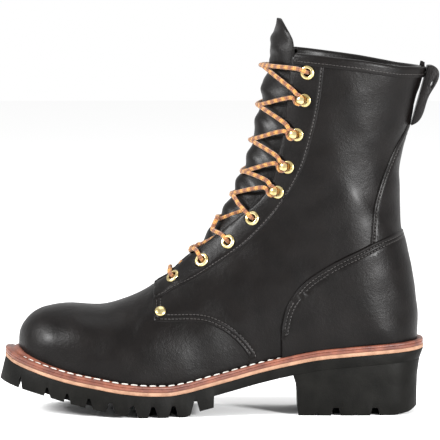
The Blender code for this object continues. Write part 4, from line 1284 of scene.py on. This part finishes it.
def make_collar(leather, thread):
    """The folded binding, rounded over the edge, with its stitching."""
    steps = np.linspace(BINDING_START, RING_POINTS - BINDING_START, 121)
    angles = TOP + steps * 2 * math.pi / RING_POINTS
    outside, inside = QUARTER_STEP + GAP, -WALL - GAP
    crest = GAP + BINDING
    profile = (
        (outside - 0.0009, -BINDING_DROP - 0.0006),
        (outside + BINDING * 0.75, -BINDING_DROP - 0.0006),
        (outside + BINDING, -BINDING_DROP + 0.0004),
        (outside + BINDING * 0.85, -BINDING_DROP + 0.0026),
        (outside + BINDING, -0.0010),
        (outside + BINDING * 0.85, crest * 0.45),
        (outside + BINDING * 0.35, crest * 0.86),
        ((outside + inside) / 2, crest),
        (inside - BINDING * 0.35, crest * 0.86),
        (inside - BINDING * 0.85, crest * 0.45),
        (inside - BINDING, -0.0010),
        (inside - BINDING, -BINDING_DROP),
        (inside, -BINDING_DROP - 0.0006),
    )
    vertices, seam, seam_normals = [], [], []
    for angle in angles:
        section = section_at(angle, collar_height, 20.0, float(LAST_SECTION))
        edge = form_point(section, angle)[0]
        normal = form_normal(section, angle)[0]
        climb = form_point(section + 0.05, angle)[0] - form_point(section - 0.05, angle)[0]
        climb /= climb[2]
        for offset, rise in profile:
            place = edge + normal * offset
            lift = collar_height(place[0], place[1]) + rise - place[2]
            vertices.append(place + climb * lift)
        place = edge + normal * (outside + BINDING * 0.9)
        lift = collar_height(place[0], place[1]) - BINDING_DROP + 0.0018 - place[2]
        seam.append(place + climb * lift)
        seam_normals.append(normal)
    made = new_object("collar_edge", vertices, capped_faces(len(angles), len(profile)), leather, 50.0)
    ride(fix_normals(made), "black_leather", "collar_binding")
    lines = [(np.array(seam), np.array(seam_normals))]
    stitches = capsules("collar_stitches", lines, SEAM_PITCH, 0.0021, 0.00032, thread)
    ride(stitches, "black_leather")


# Where the lace crosses the middle of the throat: x and z in millimetres
LACE_TIPS = (
    (-136.0, 103.0),
    (-126.0, 112.0),
    (-114.0, 125.8),
    (-100.7, 145.1),
    (-90.3, 162.2),
    (-82.9, 179.2),
    (-77.8, 201.1),
    (-72.6, 227.3),
    (-71.2, 255.4),
)


def tongue_swell(section):
    """How far the tongue bulges out between the crossings, in metres."""
    heights = form_point(section, TOP)[..., 2]
    tips = np.array([tip[1] / 1000 for tip in LACE_TIPS[2:]])
    tips = np.concatenate([tips, [0.292]])
    swell = np.zeros(np.shape(heights))
    for low, high in zip(tips[:-1], tips[1:]):
        share = np.clip((heights - low) / (high - low), 0.0, 1.0)
        swell = swell + 0.0026 * np.sin(math.pi * share) ** 2
    return swell


def make_tongue(leather):
    """The tongue, swelling out between the crossings of the lace, with a thinner edge."""
    rows, columns = 150, 27
    shares = np.linspace(-1.0, 1.0, columns)
    rim = 0.0006 * np.clip((np.abs(shares) - 0.86) / 0.14, 0.0, 1.0) ** 2
    vertices = []
    for section in np.linspace(10.6, 30.5, rows):
        spread = width_angle(section, table(TONGUE_OUTLINE, section)[0, 0] * SHAFT_WIDTH)
        angles = TOP + spread * shares
        inward = np.clip(1 - (np.abs(angles - TOP) / max(float(throat_spread(section)), 0.05)) ** 2, 0.0, 1.0)
        folds = 0.0004 * np.sin(section * 2.9 + shares * 4.0) + 0.0003 * np.sin(section * 5.3 - shares * 6.0)
        lift = (tongue_swell(np.array([section]))[0] + folds) * inward - WALL - TONGUE_GAP
        form, normal = form_point(section, angles), form_normal(section, angles)
        vertices += list(form + normal * (lift - rim)[:, None])
        vertices += list(form + normal * (lift - TONGUE + rim)[:, None])[::-1]
    count = 2 * columns
    faces = strip_faces(rows, count)
    for end in (0, (rows - 1) * count):
        for index in range(columns - 1):
            faces.append((end + index, end + index + 1, end + count - 2 - index, end + count - 1 - index))
    made = new_object("tongue_leather", vertices, faces, leather, 60.0)
    ride(fix_normals(made), "black_leather", "tongue")


# Profiles of the fittings, turned about their middle line: radius and height above the leather, in metres
EYELET_PROFILE = (
    (0.0027, -WALL),
    (0.0031, -WALL),
    (0.0031, 0.0004),
    (0.0052, 0.0003),
    (0.0054, 0.0005),
    (0.0052, 0.0010),
    (0.0046, 0.0014),
    (0.0038, 0.0016),
    (0.0031, 0.0014),
    (0.0027, 0.0008),
    (0.0026, 0.0),
)
PLATE_PROFILE = (
    (0.0, 0.0),
    (0.0047, 0.0),
    (0.0049, 0.0003),
    (0.0047, 0.0007),
    (0.0040, 0.0009),
    (0.0028, 0.0008),
    (0.0, 0.0008),
)
DOME_PROFILE = (
    (0.0, 0.0),
    (0.0042, 0.0),
    (0.0043, 0.0003),
    (0.0040, 0.0009),
    (0.0031, 0.0015),
    (0.0018, 0.0019),
    (0.0, 0.0020),
)


def hook_seat(number, side, offset):
    """Where a hook sits: the point, the normal, the upward tangent and the direction to the back."""
    point, normal, upward = seat_on_side(HOOK_PLACES[number], side, offset)
    back = normal.cross(upward)
    return point, normal, upward, back if back.x >= 0 else -back


def make_metal(brass):
    """The eyelets, the speed hooks and the rivets of both sides."""
    for side in ("outer", "inner"):
        for number, place in enumerate(EYELET_PLACES, 1):
            seated = seat_on_side(place, side, QUARTER_STEP + 0.0003)
            piece = revolved(f"eyelet_ring_{side}_{number}", EYELET_PROFILE, seated, brass)
            ride(piece, "brass", f"eyelet_{side}_{number}")
        for number in range(len(HOOK_PLACES)):
            seated = hook_seat(number, side, QUARTER_STEP + 0.0003)
            base = revolved("base", PLATE_PROFILE, seated, brass, closed=False)
            piece = joined(f"speed_hook_{side}_{number + 1}", [base, hook_neck(*seated, brass)])
            dress(piece.data, brass, 50.0)
            ride(piece, "brass", f"hook_{side}_{number + 1}")
        seated = seat_on_side(RIVET_PLACE, side, QUARTER_STEP + 0.0001)
        piece = revolved(f"rivet_head_{side}", DOME_PROFILE, seated, brass, closed=False)
        ride(piece, "brass", f"rivet_{side}")


# A hook's bent sheet: back and rise in metres, and its width there
HOOK_BEND = (
    (-0.0010, 0.0007, 0.0034),
    (-0.0028, 0.0007, 0.0036),
    (-0.0040, 0.0012, 0.0036),
    (-0.0046, 0.0024, 0.0036),
    (-0.0046, 0.0036, 0.0038),
    (-0.0040, 0.0047, 0.0044),
    (-0.0028, 0.0052, 0.0052),
    (-0.0012, 0.0053, 0.0056),
    (0.0002, 0.0052, 0.0050),
    (0.0012, 0.0049, 0.0034),
)


# The lace's way round a hook's neck: back and up from its middle, in metres
HOOK_TURN = (
    (-0.0010, -0.0034),
    (0.0012, -0.0032),
    (0.0030, -0.0022),
    (0.0038, 0.0),
    (0.0030, 0.0022),
    (0.0012, 0.0032),
    (-0.0012, 0.0034),
)


def hook_neck(point, normal, upward, back, brass):
    """The hook itself: a rounded sheet that rises from the plate and folds back over the lace."""
    sides, vertices = 12, []
    path = [point + back * row[0] + normal * row[1] for row in HOOK_BEND]
    for index, (centre, row) in enumerate(zip(path, HOOK_BEND)):
        before, after = path[max(index - 1, 0)], path[min(index + 1, len(path) - 1)]
        across = (after - before).normalized().cross(upward).normalized()
        for turn in ring_turns(sides):
            wide = math.copysign(abs(math.cos(turn)) ** 0.7, math.cos(turn)) * row[2] / 2
            vertices.append(tuple(centre + upward * wide + across * math.sin(turn) * 0.00065))
    return fix_normals(new_object("neck", vertices, capped_faces(len(path), sides), brass, 60.0))


def over_tongue(first, tip, last, over):
    """A strand from one facing over the middle to the other, straight when it is seen from the side."""
    middle = section_at(TOP, lambda x, y: tip[1], 9.0, float(LAST_SECTION))
    crown = surface(middle, TOP, tip[2] + (0.0012 if over else -0.0004))[0]
    halves = []
    for section, angle, offset in (first, last):
        start = surface(section, angle, offset)[0]
        half = [start]
        for share in (0.2, 0.4, 0.6, 0.8, 0.92):
            turn = angle + (TOP - angle) * share
            away = offset + (tip[2] - offset) * share**1.6
            z = start[2] + (tip[1] - start[2]) * share
            for _ in range(3):
                place = section_at(turn, lambda x, y, z=z: z, 9.0, float(LAST_SECTION))
                point = surface(place, turn, away)[0]
                done = min(max((start[0] - point[0]) / (start[0] - crown[0]), 0.0), 1.0)
                z = start[2] + (crown[2] - start[2]) * done
            half.append(point)
        halves.append(half)
    return halves[0] + [crown] + halves[1][::-1]


def lace_through(side, number, upwards):
    """Points of the lace through one eyelet."""
    point, normal, _ = seat_on_side(EYELET_PLACES[number], side, QUARTER_STEP)
    inside = [point + normal * depth for depth in (-0.0045, -0.0015, 0.0012)]
    return inside if upwards else inside[::-1]


def lace_start(side, place, toward, distance, offset):
    """Where a strand leaves a fitting: its section, its angle and how far it is off the last."""
    section, angle = surface_place(*place)
    whole = np.linalg.norm(form_point(section, angle)[0] - form_point(section, TOP)[0])
    angle = angle + (TOP - angle) * distance / whole
    return section + toward * distance, angle if side == "outer" else math.pi - angle, offset


def lace_round(side, number):
    """Points of the lace round the neck of one hook."""
    point, _, upward, back = hook_seat(number, side, QUARTER_STEP + 0.0030)
    neck = point - back * 0.0046
    return [neck + back * away + upward * up for away, up in HOOK_TURN]


def make_laces(cord):
    """Two ends of one lace, from the bar up through the eyelets and round the hooks."""
    radius = LACE / 2
    tips = []
    for x, z in LACE_TIPS:
        middle = section_at(TOP, lambda a, b: z / 1000, 9.0, float(LAST_SECTION))
        front = form_point(middle, TOP)[0, 0]
        tips.append((x / 1000, z / 1000, (front - x / 1000) * 0.80 - radius))
    lift, under = QUARTER_STEP + 0.0016, -WALL - 0.001
    lows, hooks = EYELET_PLACES[:4], HOOK_PLACES
    other = {"outer": "inner", "inner": "outer"}
    pieces = []
    for start in ("outer", "inner"):
        side, over = start, start == "outer"
        first = lace_start(side, lows[0], -20.0, 0.004, lift + radius)
        last = lace_start(other[side], lows[0], -20.0, 0.004, lift + radius)
        bar = over_tongue(first, tips[0], last, True)
        points = bar[: len(bar) // 2 + 1][::-1] + lace_through(side, 0, False)
        first = lace_start(side, lows[0], 0.0, 0.004, under)
        last = lace_start(other[side], lows[1], 0.0, 0.004, under)
        points += over_tongue(first, (0, tips[1][1], -WALL - 0.0006), last, over)[1:-1]
        side = other[side]
        for number in range(1, 4):
            points += lace_through(side, number, True)
            first = lace_start(side, lows[number], 0.0, 0.0052, lift + radius * 0.7)
            if number < 3:
                last = lace_start(other[side], lows[number + 1], 0.0, 0.0085, -WALL - 0.0008)
            else:
                last = lace_start(other[side], hooks[0], -25.0, 0.0062, lift + 0.0014)
            points += over_tongue(first, tips[number + 1], last, over)
            side = other[side]
        for number in range(4):
            points += lace_round(side, number)
            first = lace_start(side, hooks[number], 25.0, 0.0062, lift + 0.0014)
            if number < 3:
                last = lace_start(other[side], hooks[number + 1], -25.0, 0.0062, lift + 0.0014)
            else:
                last = lace_start(other[side], EYELET_PLACES[4], 0.0, 0.0048, lift + radius)
            points += over_tongue(first, tips[number + 5], last, over)
            side = other[side]
        points += lace_through(side, 4, False)
        pieces.append(cord_tube(f"lace_{start}", points, radius, cord))
    ride(pieces[0], "cord", "lace_bar", *[f"lace_crossing_{number}" for number in range(1, 8)])
    ride(pieces[1], "cord")


def smooth_curve(points, spacing):
    """Points this far apart on a smooth curve through other points."""
    padded = np.concatenate([[2 * points[0] - points[1]], points, [2 * points[-1] - points[-2]]])
    fine = []
    for a, b, c, d in zip(padded, padded[1:], padded[2:], padded[3:]):
        count = max(2, int(np.linalg.norm(c - b) / spacing))
        for t in np.arange(count) / count:
            square = (2 * a - 5 * b + 4 * c - d) * t**2
            cube = (3 * b - a - 3 * c + d) * t**3
            fine.append(0.5 * (2 * b + (c - a) * t + square + cube))
    return np.array(fine + [points[-1]])


def cord_tube(name, points, radius, surface_material):
    """A smooth round cord through points, with its length and its turn as a UV map for the braid."""
    sides = 10
    kept = [np.array(points[0])]
    for point in points[1:]:
        if np.linalg.norm(np.array(point) - kept[-1]) > 0.0008:
            kept.append(np.array(point))
    points = np.array(kept)
    points[1:-1] = (points[:-2] + 4 * points[1:-1] + points[2:]) / 6
    fine = smooth_curve(points, 0.0010)
    run = run_along(fine)
    side = np.array([0.0, 0.0, 1.0])
    vertices = []
    for index, centre in enumerate(fine):
        tangent = unit(fine[min(index + 1, len(fine) - 1)] - fine[max(index - 1, 0)])
        side = unit(side - tangent * (side @ tangent))
        other = np.cross(tangent, side)
        vertices += [centre + (math.cos(t) * side + math.sin(t) * other) * radius for t in ring_turns(sides)]
    made = new_object(name, vertices, capped_faces(len(fine), sides), surface_material, 80.0)
    layer = made.data.uv_layers.new(name="braid")
    for polygon in made.data.polygons:
        numbers = [made.data.loops[k].vertex_index for k in polygon.loop_indices]
        turns = [number % sides for number in numbers]
        wrap = max(turns) - min(turns) > sides / 2
        for k, number, turn in zip(polygon.loop_indices, numbers, turns):
            u = (turn + (sides if wrap and turn < sides / 2 else 0)) / sides
            layer.data[k].uv = (u, run[number // sides])
    return made


def welt_level(x):
    return seat(x) + GAP


def make_welt(brown, white, tan):
    high = WELT
    welt = (
        (1.0, 0.0035, 0.0),
        (0.03, 0.0, 0.0),
        (0.0, 0.0, 0.0005),
        (0.0, 0.0, high * 0.46),
        (0.0, 0.0004, high * 0.53),
        (0.0, 0.0, high * 0.60),
        (0.0, 0.0, high - 0.0007),
        (0.04, 0.0001, high - 0.0002),
        (0.12, 0.0003, high),
        (0.34, 0.0, high),
        (0.44, 0.0, high - 0.0005),
        (0.56, 0.0, high - 0.0008),
        (0.68, 0.0, high - 0.0004),
        (0.80, 0.0, high + 0.0004),
        (0.92, 0.0, high + 0.0007),
        (1.0, 0.0004, high + 0.0004),
        (1.0, 0.0030, high),
    )
    made = swept_layer("storm_welt", welt, welt_level, brown)
    ride(made, "welt_brown", "welt")
    layer = (
        (1.0, 0.0, 0.0),
        (0.02, 0.0, 0.0),
        (-0.02, 0.0, 0.0004),
        (-0.02, 0.0, MIDSOLE - 0.0003),
        (0.01, 0.0, MIDSOLE + 0.0001),
        (1.0, 0.0, MIDSOLE + 0.0001),
    )
    made = swept_layer("midsole_edge", layer, lambda x: rubber_top(x) + GAP, tan)
    ride(made, "midsole_tan", "midsole")
    groove = RIM - RIM_NORMAL * (0.56 * RIM_REACH)[:, None]
    z = welt_level(groove[:, 0]) + WELT + 0.0002
    line = np.stack([groove[:, 0], groove[:, 1], z], axis=1)
    up = np.tile(np.array([0.0, 0.0, 1.0]), (len(line), 1))
    lines = [(line[run], up[run]) for run in runs_of(line[:, 0] < 0.012)]
    made = capsules("welt_stitches", lines, 0.0069, 0.0050, 0.00085, white, 0.16)
    ride(made, "cord")


def plain_solid(name, vertices, count):
    """A solid through rings of so many points each, with no material yet, as one that is cut later."""
    total = len(vertices)
    faces = strip_faces(total // count, count) + [tuple(range(count)), tuple(range(total - count, total))]
    mesh = bpy.data.meshes.new(name)
    mesh.from_pydata([tuple(float(c) for c in v) for v in vertices], [], faces)
    return fix_normals(linked(name, mesh))


def side_prism(name, outline, low=-FAR, high=FAR):
    """A solid with an outline seen from the side, across the boot."""
    vertices = [(x, y, z) for y in (low, high) for x, z in outline]
    return plain_solid(name, vertices, len(outline))


def cut(body, tool):
    """Takes a tool's shape away from a body, and the tool out of the scene."""
    modifier = body.modifiers.new("cut", "BOOLEAN")
    modifier.operation = "DIFFERENCE"
    modifier.object = tool
    apply_all(body)
    bpy.data.objects.remove(tool)


def apply_all(body):
    """Makes what an object's modifiers show its own mesh."""
    bpy.context.view_layer.update()
    graph = bpy.context.evaluated_depsgraph_get()
    mesh = bpy.data.meshes.new_from_object(body.evaluated_get(graph))
    body.modifiers.clear()
    body.data = mesh


def soften(body, width, surface_material, segments=2):
    """Rounds a moulded solid's edges and gives it its material."""
    bevel = body.modifiers.new("bevel", "BEVEL")
    bevel.width = width
    bevel.segments = segments
    bevel.limit_method = "ANGLE"
    bevel.angle_limit = math.radians(32)
    bevel.use_clamp_overlap = True
    apply_all(body)
    dress(body.data, surface_material, 42.0)
    return body


def heel_reach(x):
    """How far back a place is from the heel's breast, as a share of the heel."""
    return max(0.0, (x - HEEL_BREAST) / (SOLE_HEEL - HEEL_BREAST))


def trapezium(middle, wide, apex, low, high, spread):
    """A notch seen from the side: half widths at its foot and its top, run on below the foot by a share."""
    slope = wide + (wide - apex) * spread
    below = low - spread * (high - low)
    return [(middle - slope, below), (middle - apex, high), (middle + apex, high), (middle + slope, below)]


def slab_bottom(x):
    return float(rubber_top(x)[0]) - SLAB


def outsole_blank():
    """The rubber sole without its cuts, leaning in at the toe, the sides and the heel."""
    end, step = along_to_x(LUG_END), 2 * END_MARGIN
    places = [float(x) for x in stations(SOLE_TOE + END_MARGIN, SOLE_HEEL - END_MARGIN, 130)]
    front = [x for x in places if x < end - 4 * step]
    rear = [x for x in places if x > end + 6 * step]
    corners = []
    for x in front + [end, end + step] + rear:
        outer, inner = sole_sides(x)
        low, high = float(tread(x)[0]) if x <= end else slab_bottom(x), float(rubber_top(x)[0])
        corners += [(x, inner, low), (x, inner, high), (x, outer, high), (x, outer, low)]
    blank = plain_solid("lug_sole", corners, 4)
    start = along_to_x(TOE_LEAN_START)
    for vertex in blank.data.vertices:
        x, y, z = vertex.co
        depth = float(rubber_top(x)[0]) - z
        ahead = max(0.0, (start - x) / (start - SOLE_TOE))
        full = depth / (SLAB + LUG)
        back_lean = HEEL_LEAN * HEEL_RINGS[0][1] * min(1.0, depth / SLAB)
        vertex.co.x = x - TOE_LEAN * full * ahead**2 - back_lean * heel_reach(x)
        if x < end:
            vertex.co.y = y + math.copysign(SIDE_LEAN * full, y - sum(sole_sides(x)) / 2)
    return blank


def make_outsole(rubber):
    """The rubber sole with its lugs, with the same cuts as the solid and a finer outline."""
    outsole = outsole_blank()
    cutters = []
    for along, share in NOTCHES:
        x = along_to_x(along)
        wide, apex = NOTCH_WIDTH * share / 2, NOTCH_APEX * share / 2
        outline = trapezium(x, wide, apex, float(tread(x)[0]), slab_bottom(x), 0.4)
        cutters.append(side_prism("notch", outline))
    cut(outsole, joined("notches", cutters))
    half = GROOVE_WIDTH / 2
    cutters = []
    for share in GROOVE_PLACES:
        corners = []
        for x in np.linspace(along_to_x(GROOVE_START), along_to_x(LUG_END) + half, 30):
            outer, inner = sole_sides(x)
            middle, low = outer + share * (inner - outer), float(tread(x)[0])
            high, low = low + GROOVE_DEPTH, low - half
            corners += [(x, middle - half, low), (x, middle + half, low)]
            corners += [(x, middle + half / 2, high), (x, middle - half / 2, high)]
        cutters.append(plain_solid("groove", corners, 4))
    cut(outsole, joined("grooves", cutters))
    ride(soften(outsole, 0.0006, rubber), "black_rubber", "outsole")


def make_spine(rubber):
    """Rubber that fills the middle of the four notches nearest the toe, which show no daylight."""
    corners = []
    for x in np.linspace(along_to_x(1.0) + 0.004, -0.187, 40):
        outer, inner = sole_sides(x)
        low, high = float(tread(x)[0]), slab_bottom(x) + 0.001
        low += (high - low) * 0.06
        left, right = outer + 0.13 * (inner - outer), outer + 0.87 * (inner - outer)
        corners += [(x, left, low), (x, left, high), (x, right, high), (x, right, low)]
    ride(soften(plain_solid("sole_spine", corners, 4), 0.0004, rubber), "black_rubber")


def make_heel(rubber):
    """The heel block with its notches, nicks and bevel."""
    back = SOLE_HEEL - END_MARGIN
    spread = stations(2 * HEEL_BREAST - back, back, 110)
    places = [HEEL_BREAST] + [float(x) for x in spread if x > HEEL_BREAST + 10 * END_MARGIN]
    outline = [(x, sole_sides(x)[0]) for x in places] + [(x, sole_sides(x)[1]) for x in reversed(places)]
    vertices = []
    for down, back_share, breast_share in HEEL_RINGS:
        for x, y in outline:
            reach = heel_reach(x)
            moved = x - back_share * HEEL_LEAN * reach + breast_share * BREAST_LEAN * (1 - reach)
            narrow = 1 - HEEL_NARROWING * breast_share
            vertices.append((moved, y * narrow, (slab_bottom(x) - 0.0001) * (1 - down)))
    heel = plain_solid("heel_block", vertices, len(outline))
    for place in HEEL_NOTCHES:
        wide, apex = HEEL_NOTCH_WIDTH / 2, HEEL_NOTCH_WIDTH * 0.28
        cut(heel, side_prism("heel_notch", trapezium(place, wide, apex, 0.0, HEEL_NOTCH, 0.35)))
    for place in HEEL_NICKS:
        cut(heel, side_prism("nick", trapezium(place, 0.0012, 0.0003, -0.001, 0.0016, 0.0)))
    bevel = [(back - ahead, up * HEEL_BEVEL) for ahead, up in HEEL_BEVEL_LINE]
    bevel += [(back + CUTTER_REACH, -CUTTER_REACH), (bevel[0][0], -CUTTER_REACH)]
    cut(heel, side_prism("heel_bevel", bevel))
    ride(soften(heel, 0.0005, rubber), "black_rubber", "heel")


def make_loop(leather):
    """The strap at the back, folded out and down from the rim, with its small oval slot."""
    rim = collar_height(HEEL_BACK) + GAP + BINDING
    clear = QUARTER_STEP + GAP + BINDING + GAP
    points = np.array([(down * LOOP_DROP, out * LOOP_REACH) for down, out in LOOP_FACE])
    for _ in range(2):
        middle = (points[:-1] + points[1:]) / 2
        softer = points.copy()
        softer[1:-1] = (points[:-2] + 6 * points[1:-1] + points[2:]) / 8
        points = np.insert(softer, np.arange(1, len(softer)), middle, axis=0)
    face = [(back_x(rim - down) + clear + out, rim - down) for down, out in points]
    shaft = [rim - LOOP_DROP * share for share in (0.85, 0.7, 0.5, 0.3, 0.15)]
    face += [(back_x(z) + clear, z) for z in shaft]
    loop = side_prism("back_loop", face, -LOOP_WIDTH / 2, LOOP_WIDTH / 2)
    x, z = back_x(rim - 0.013) + clear + 0.0064, rim - 0.0135
    slot = [
        (x + 0.0009 * math.cos(turn) + 0.0008 * math.sin(turn), z + 0.0024 * math.sin(turn))
        for turn in np.linspace(0.0, 2 * math.pi, 17)[:-1]
    ]
    cut(loop, side_prism("slot", slot))
    ride(soften(loop, 0.0008, leather, 3), "black_leather", "pull_loop")


def new_material(name):
    """A new material with its node tree and its main shader."""
    made = bpy.data.materials.new(name)
    made.use_nodes = True
    return made, made.node_tree, made.node_tree.nodes["Principled BSDF"]


def texture_node(tree, place, scale, detail=None):
    """Noise of this scale and detail, or cells where no detail is given."""
    texture = tree.nodes.new("ShaderNodeTexNoise" if detail else "ShaderNodeTexVoronoi")
    texture.inputs["Scale"].default_value = scale
    if detail:
        texture.inputs["Detail"].default_value = detail
    tree.links.new(place.outputs["Object"], texture.inputs["Vector"])
    return texture.outputs["Fac" if detail else "Distance"]


def grain_material(name, dark, light, roughness, bumps, coat=0.0, rough_swing=0.1, mix_scale=60.0, gloss=0.4):
    """Two colours mixed by soft noise, uneven roughness, and bump from layers of (scale, strength, kind)."""
    made, tree, shader = new_material(name)
    nodes, links = tree.nodes, tree.links
    place = nodes.new("ShaderNodeTexCoord")
    ramp = nodes.new("ShaderNodeValToRGB")
    for stop, position, colour in zip(ramp.color_ramp.elements, (0.34, 0.70), (dark, light)):
        stop.position = position
        stop.color = (*colour, 1.0)
    links.new(texture_node(tree, place, mix_scale, 6.0), ramp.inputs["Fac"])
    links.new(ramp.outputs["Color"], shader.inputs["Base Color"])
    swing = nodes.new("ShaderNodeMapRange")
    swing.inputs["To Min"].default_value = roughness - rough_swing
    swing.inputs["To Max"].default_value = roughness + rough_swing
    links.new(texture_node(tree, place, 95.0, 4.0), swing.inputs["Value"])
    links.new(swing.outputs["Result"], shader.inputs["Roughness"])
    before = None
    for scale, strength, kind in bumps:
        bump = nodes.new("ShaderNodeBump")
        bump.inputs["Strength"].default_value = strength
        bump.inputs["Distance"].default_value = 0.6 / scale
        links.new(texture_node(tree, place, scale, 5.0 if kind == "noise" else None), bump.inputs["Height"])
        if before:
            links.new(before.outputs["Normal"], bump.inputs["Normal"])
        before = bump
    links.new(before.outputs["Normal"], shader.inputs["Normal"])
    shader.inputs["Specular IOR Level"].default_value = gloss
    shader.inputs["Coat Weight"].default_value = coat
    shader.inputs["Coat Roughness"].default_value = 0.22
    return made


def brass_material():
    made = grain_material(
        "brass_metal", (0.40, 0.31, 0.13), (0.62, 0.53, 0.29), 0.24, ((900.0, 0.05, "noise"),),
        rough_swing=0.06, mix_scale=220.0,
    )
    made.node_tree.nodes["Principled BSDF"].inputs["Metallic"].default_value = 1.0
    return made


# Strands that cross round the cord, and the length of the cord in which they repeat
BRAID_STRANDS = 3
BRAID_PITCH = 0.0034


def cord_material():
    """Braid: two crossing sets of slanted stripes in gold and burnt orange."""
    made, tree, shader = new_material("braided_cord")
    nodes, links = tree.nodes, tree.links
    uv = nodes.new("ShaderNodeUVMap")
    uv.uv_map = "braid"
    split = nodes.new("ShaderNodeSeparateXYZ")
    links.new(uv.outputs["UV"], split.inputs["Vector"])

    def math_node(operation, first, second=None):
        node = nodes.new("ShaderNodeMath")
        node.operation = operation
        for index, value in enumerate((first, second)):
            if value is None:
                continue
            if isinstance(value, (int, float)):
                node.inputs[index].default_value = value
            else:
                links.new(value, node.inputs[index])
        return node.outputs[0]

    round_ = math_node("MULTIPLY", split.outputs["X"], 2 * math.pi * BRAID_STRANDS)
    along = math_node("MULTIPLY", split.outputs["Y"], 2 * math.pi / BRAID_PITCH)
    first = math_node("SINE", math_node("ADD", along, round_))
    second = math_node("SINE", math_node("SUBTRACT", along, round_))
    weave = math_node("MULTIPLY", first, second)
    slow = math_node("SINE", math_node("ADD", math_node("MULTIPLY", along, 0.5), split.outputs["X"]))
    blend = math_node("ADD", math_node("MULTIPLY", weave, 0.5), math_node("MULTIPLY", slow, 0.55))
    ramp = nodes.new("ShaderNodeValToRGB")
    ramp.color_ramp.elements[0].position = 0.0
    ramp.color_ramp.elements[0].color = (0.050, 0.011, 0.002, 1.0)
    ramp.color_ramp.elements[1].position = 0.75
    ramp.color_ramp.elements[1].color = (0.33, 0.155, 0.022, 1.0)
    middle = ramp.color_ramp.elements.new(0.5)
    middle.color = (0.17, 0.050, 0.004, 1.0)
    links.new(math_node("ADD", math_node("MULTIPLY", blend, 0.5), 0.5), ramp.inputs["Fac"])
    links.new(ramp.outputs["Color"], shader.inputs["Base Color"])
    shader.inputs["Roughness"].default_value = 0.68
    shader.inputs["Sheen Weight"].default_value = 0.2
    bump = nodes.new("ShaderNodeBump")
    bump.inputs["Strength"].default_value = 0.6
    bump.inputs["Distance"].default_value = 0.0004
    links.new(weave, bump.inputs["Height"])
    links.new(bump.outputs["Normal"], shader.inputs["Normal"])
    return made


def aimed(made, location, target):
    """Puts a light or camera in place, turned to face a target."""
    made.location = location
    made.rotation_euler = (Vector(target) - Vector(location)).to_track_quat("-Z", "Y").to_euler()
    return made


def area_light(name, location, target, size, power):
    light = bpy.data.lights.new(name, "AREA")
    light.shape = "SQUARE"
    light.size = size
    light.energy = power
    aimed(linked(name, light), location, target)


def make_floor():
    """A wide round floor, just under the sole."""
    floor_material, _, shader = new_material("floor")
    shader.inputs["Base Color"].default_value = (0.94, 0.94, 0.94, 1.0)
    shader.inputs["Roughness"].default_value = 0.9
    shader.inputs["Specular IOR Level"].default_value = 0.0
    sides, radii = 64, (0.0, 0.3, 0.8, 2.0, 5.0)
    vertices = [
        (radius * math.cos(turn) - 0.1, radius * math.sin(turn), -0.00002)
        for radius in radii
        for turn in ring_turns(sides)
    ]
    floor = new_object("floor", vertices, strip_faces(len(radii), sides), floor_material, 60.0)


# The camera stands level with the boot's middle, 3 m away, and looks slightly down
CAMERA_PLACE = (-0.0992, -3.0, 0.368)
CAMERA_TARGET = (-0.0992, 0.0, 0.14142)
CAMERA_LENS = 332.6


def make_stage():
    """The floor, the white surroundings, the three lights and the camera."""
    make_floor()
    scene = bpy.context.scene
    scene.view_settings.view_transform = "Standard"
    scene.world = bpy.data.worlds.new("studio")
    scene.world.use_nodes = True
    background = scene.world.node_tree.nodes["Background"]
    background.inputs["Color"].default_value = (1.0, 1.0, 1.0, 1.0)
    background.inputs["Strength"].default_value = 1.0
    middle = (-0.1, 0.0, 0.13)
    area_light("key", (-1.5, -0.6, 0.85), middle, 0.40, 50.0)
    area_light("fill", (0.9, -1.3, 0.45), middle, 0.30, 62.0)
    area_light("top", (-0.1, 0.15, 1.9), middle, 1.1, 10.0)
    camera = bpy.data.cameras.new("camera")
    camera.lens = CAMERA_LENS
    camera.sensor_width = 36.0
    scene.camera = aimed(linked("camera", camera), CAMERA_PLACE, CAMERA_TARGET)


def main():
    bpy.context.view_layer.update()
    make_stage()
    leather = grain_material(
        "oiled_leather", (0.0013, 0.0009, 0.0008), (0.0028, 0.0021, 0.0019), 0.40,
        ((420.0, 0.12, "noise"), (1400.0, 0.20, "cells"), (90.0, 0.06, "noise")), coat=0.04, gloss=0.10,
    )
    lining = grain_material(
        "lining_leather", (0.0040, 0.0034, 0.0032), (0.0080, 0.0070, 0.0066), 0.62,
        ((900.0, 0.2, "noise"),), gloss=0.2,
    )
    rubber = grain_material(
        "sole_rubber", (0.0022, 0.0021, 0.0018), (0.0050, 0.0048, 0.0042), 0.55,
        ((1100.0, 0.25, "noise"), (160.0, 0.08, "noise")), gloss=0.06,
    )
    brown = grain_material(
        "welt_leather", (0.062, 0.014, 0.007), (0.150, 0.045, 0.023), 0.50,
        ((700.0, 0.25, "noise"), (120.0, 0.12, "noise")), coat=0.1, mix_scale=110.0,
    )
    tan = grain_material(
        "midsole_board", (0.17, 0.085, 0.048), (0.27, 0.150, 0.092), 0.66,
        ((800.0, 0.3, "noise"),), mix_scale=150.0,
    )
    white = grain_material(
        "white_thread", (0.32, 0.30, 0.275), (0.46, 0.44, 0.41), 0.6, ((2500.0, 0.4, "noise"),)
    )
    thread = grain_material(
        "black_thread", (0.008, 0.0066, 0.0060), (0.020, 0.017, 0.0155), 0.45, ((2500.0, 0.4, "noise"),)
    )
    make_panels(leather, thread)
    make_lining(lining)
    make_collar(leather, thread)
    make_tongue(leather)
    make_loop(leather)
    make_outsole(rubber)
    make_spine(rubber)
    make_heel(rubber)
    make_welt(brown, white, tan)
    make_metal(brass_material())
    make_laces(cord_material())
    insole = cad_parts["insole"]
    insole.data.materials.clear()
    insole.data.materials.append(lining)


main()
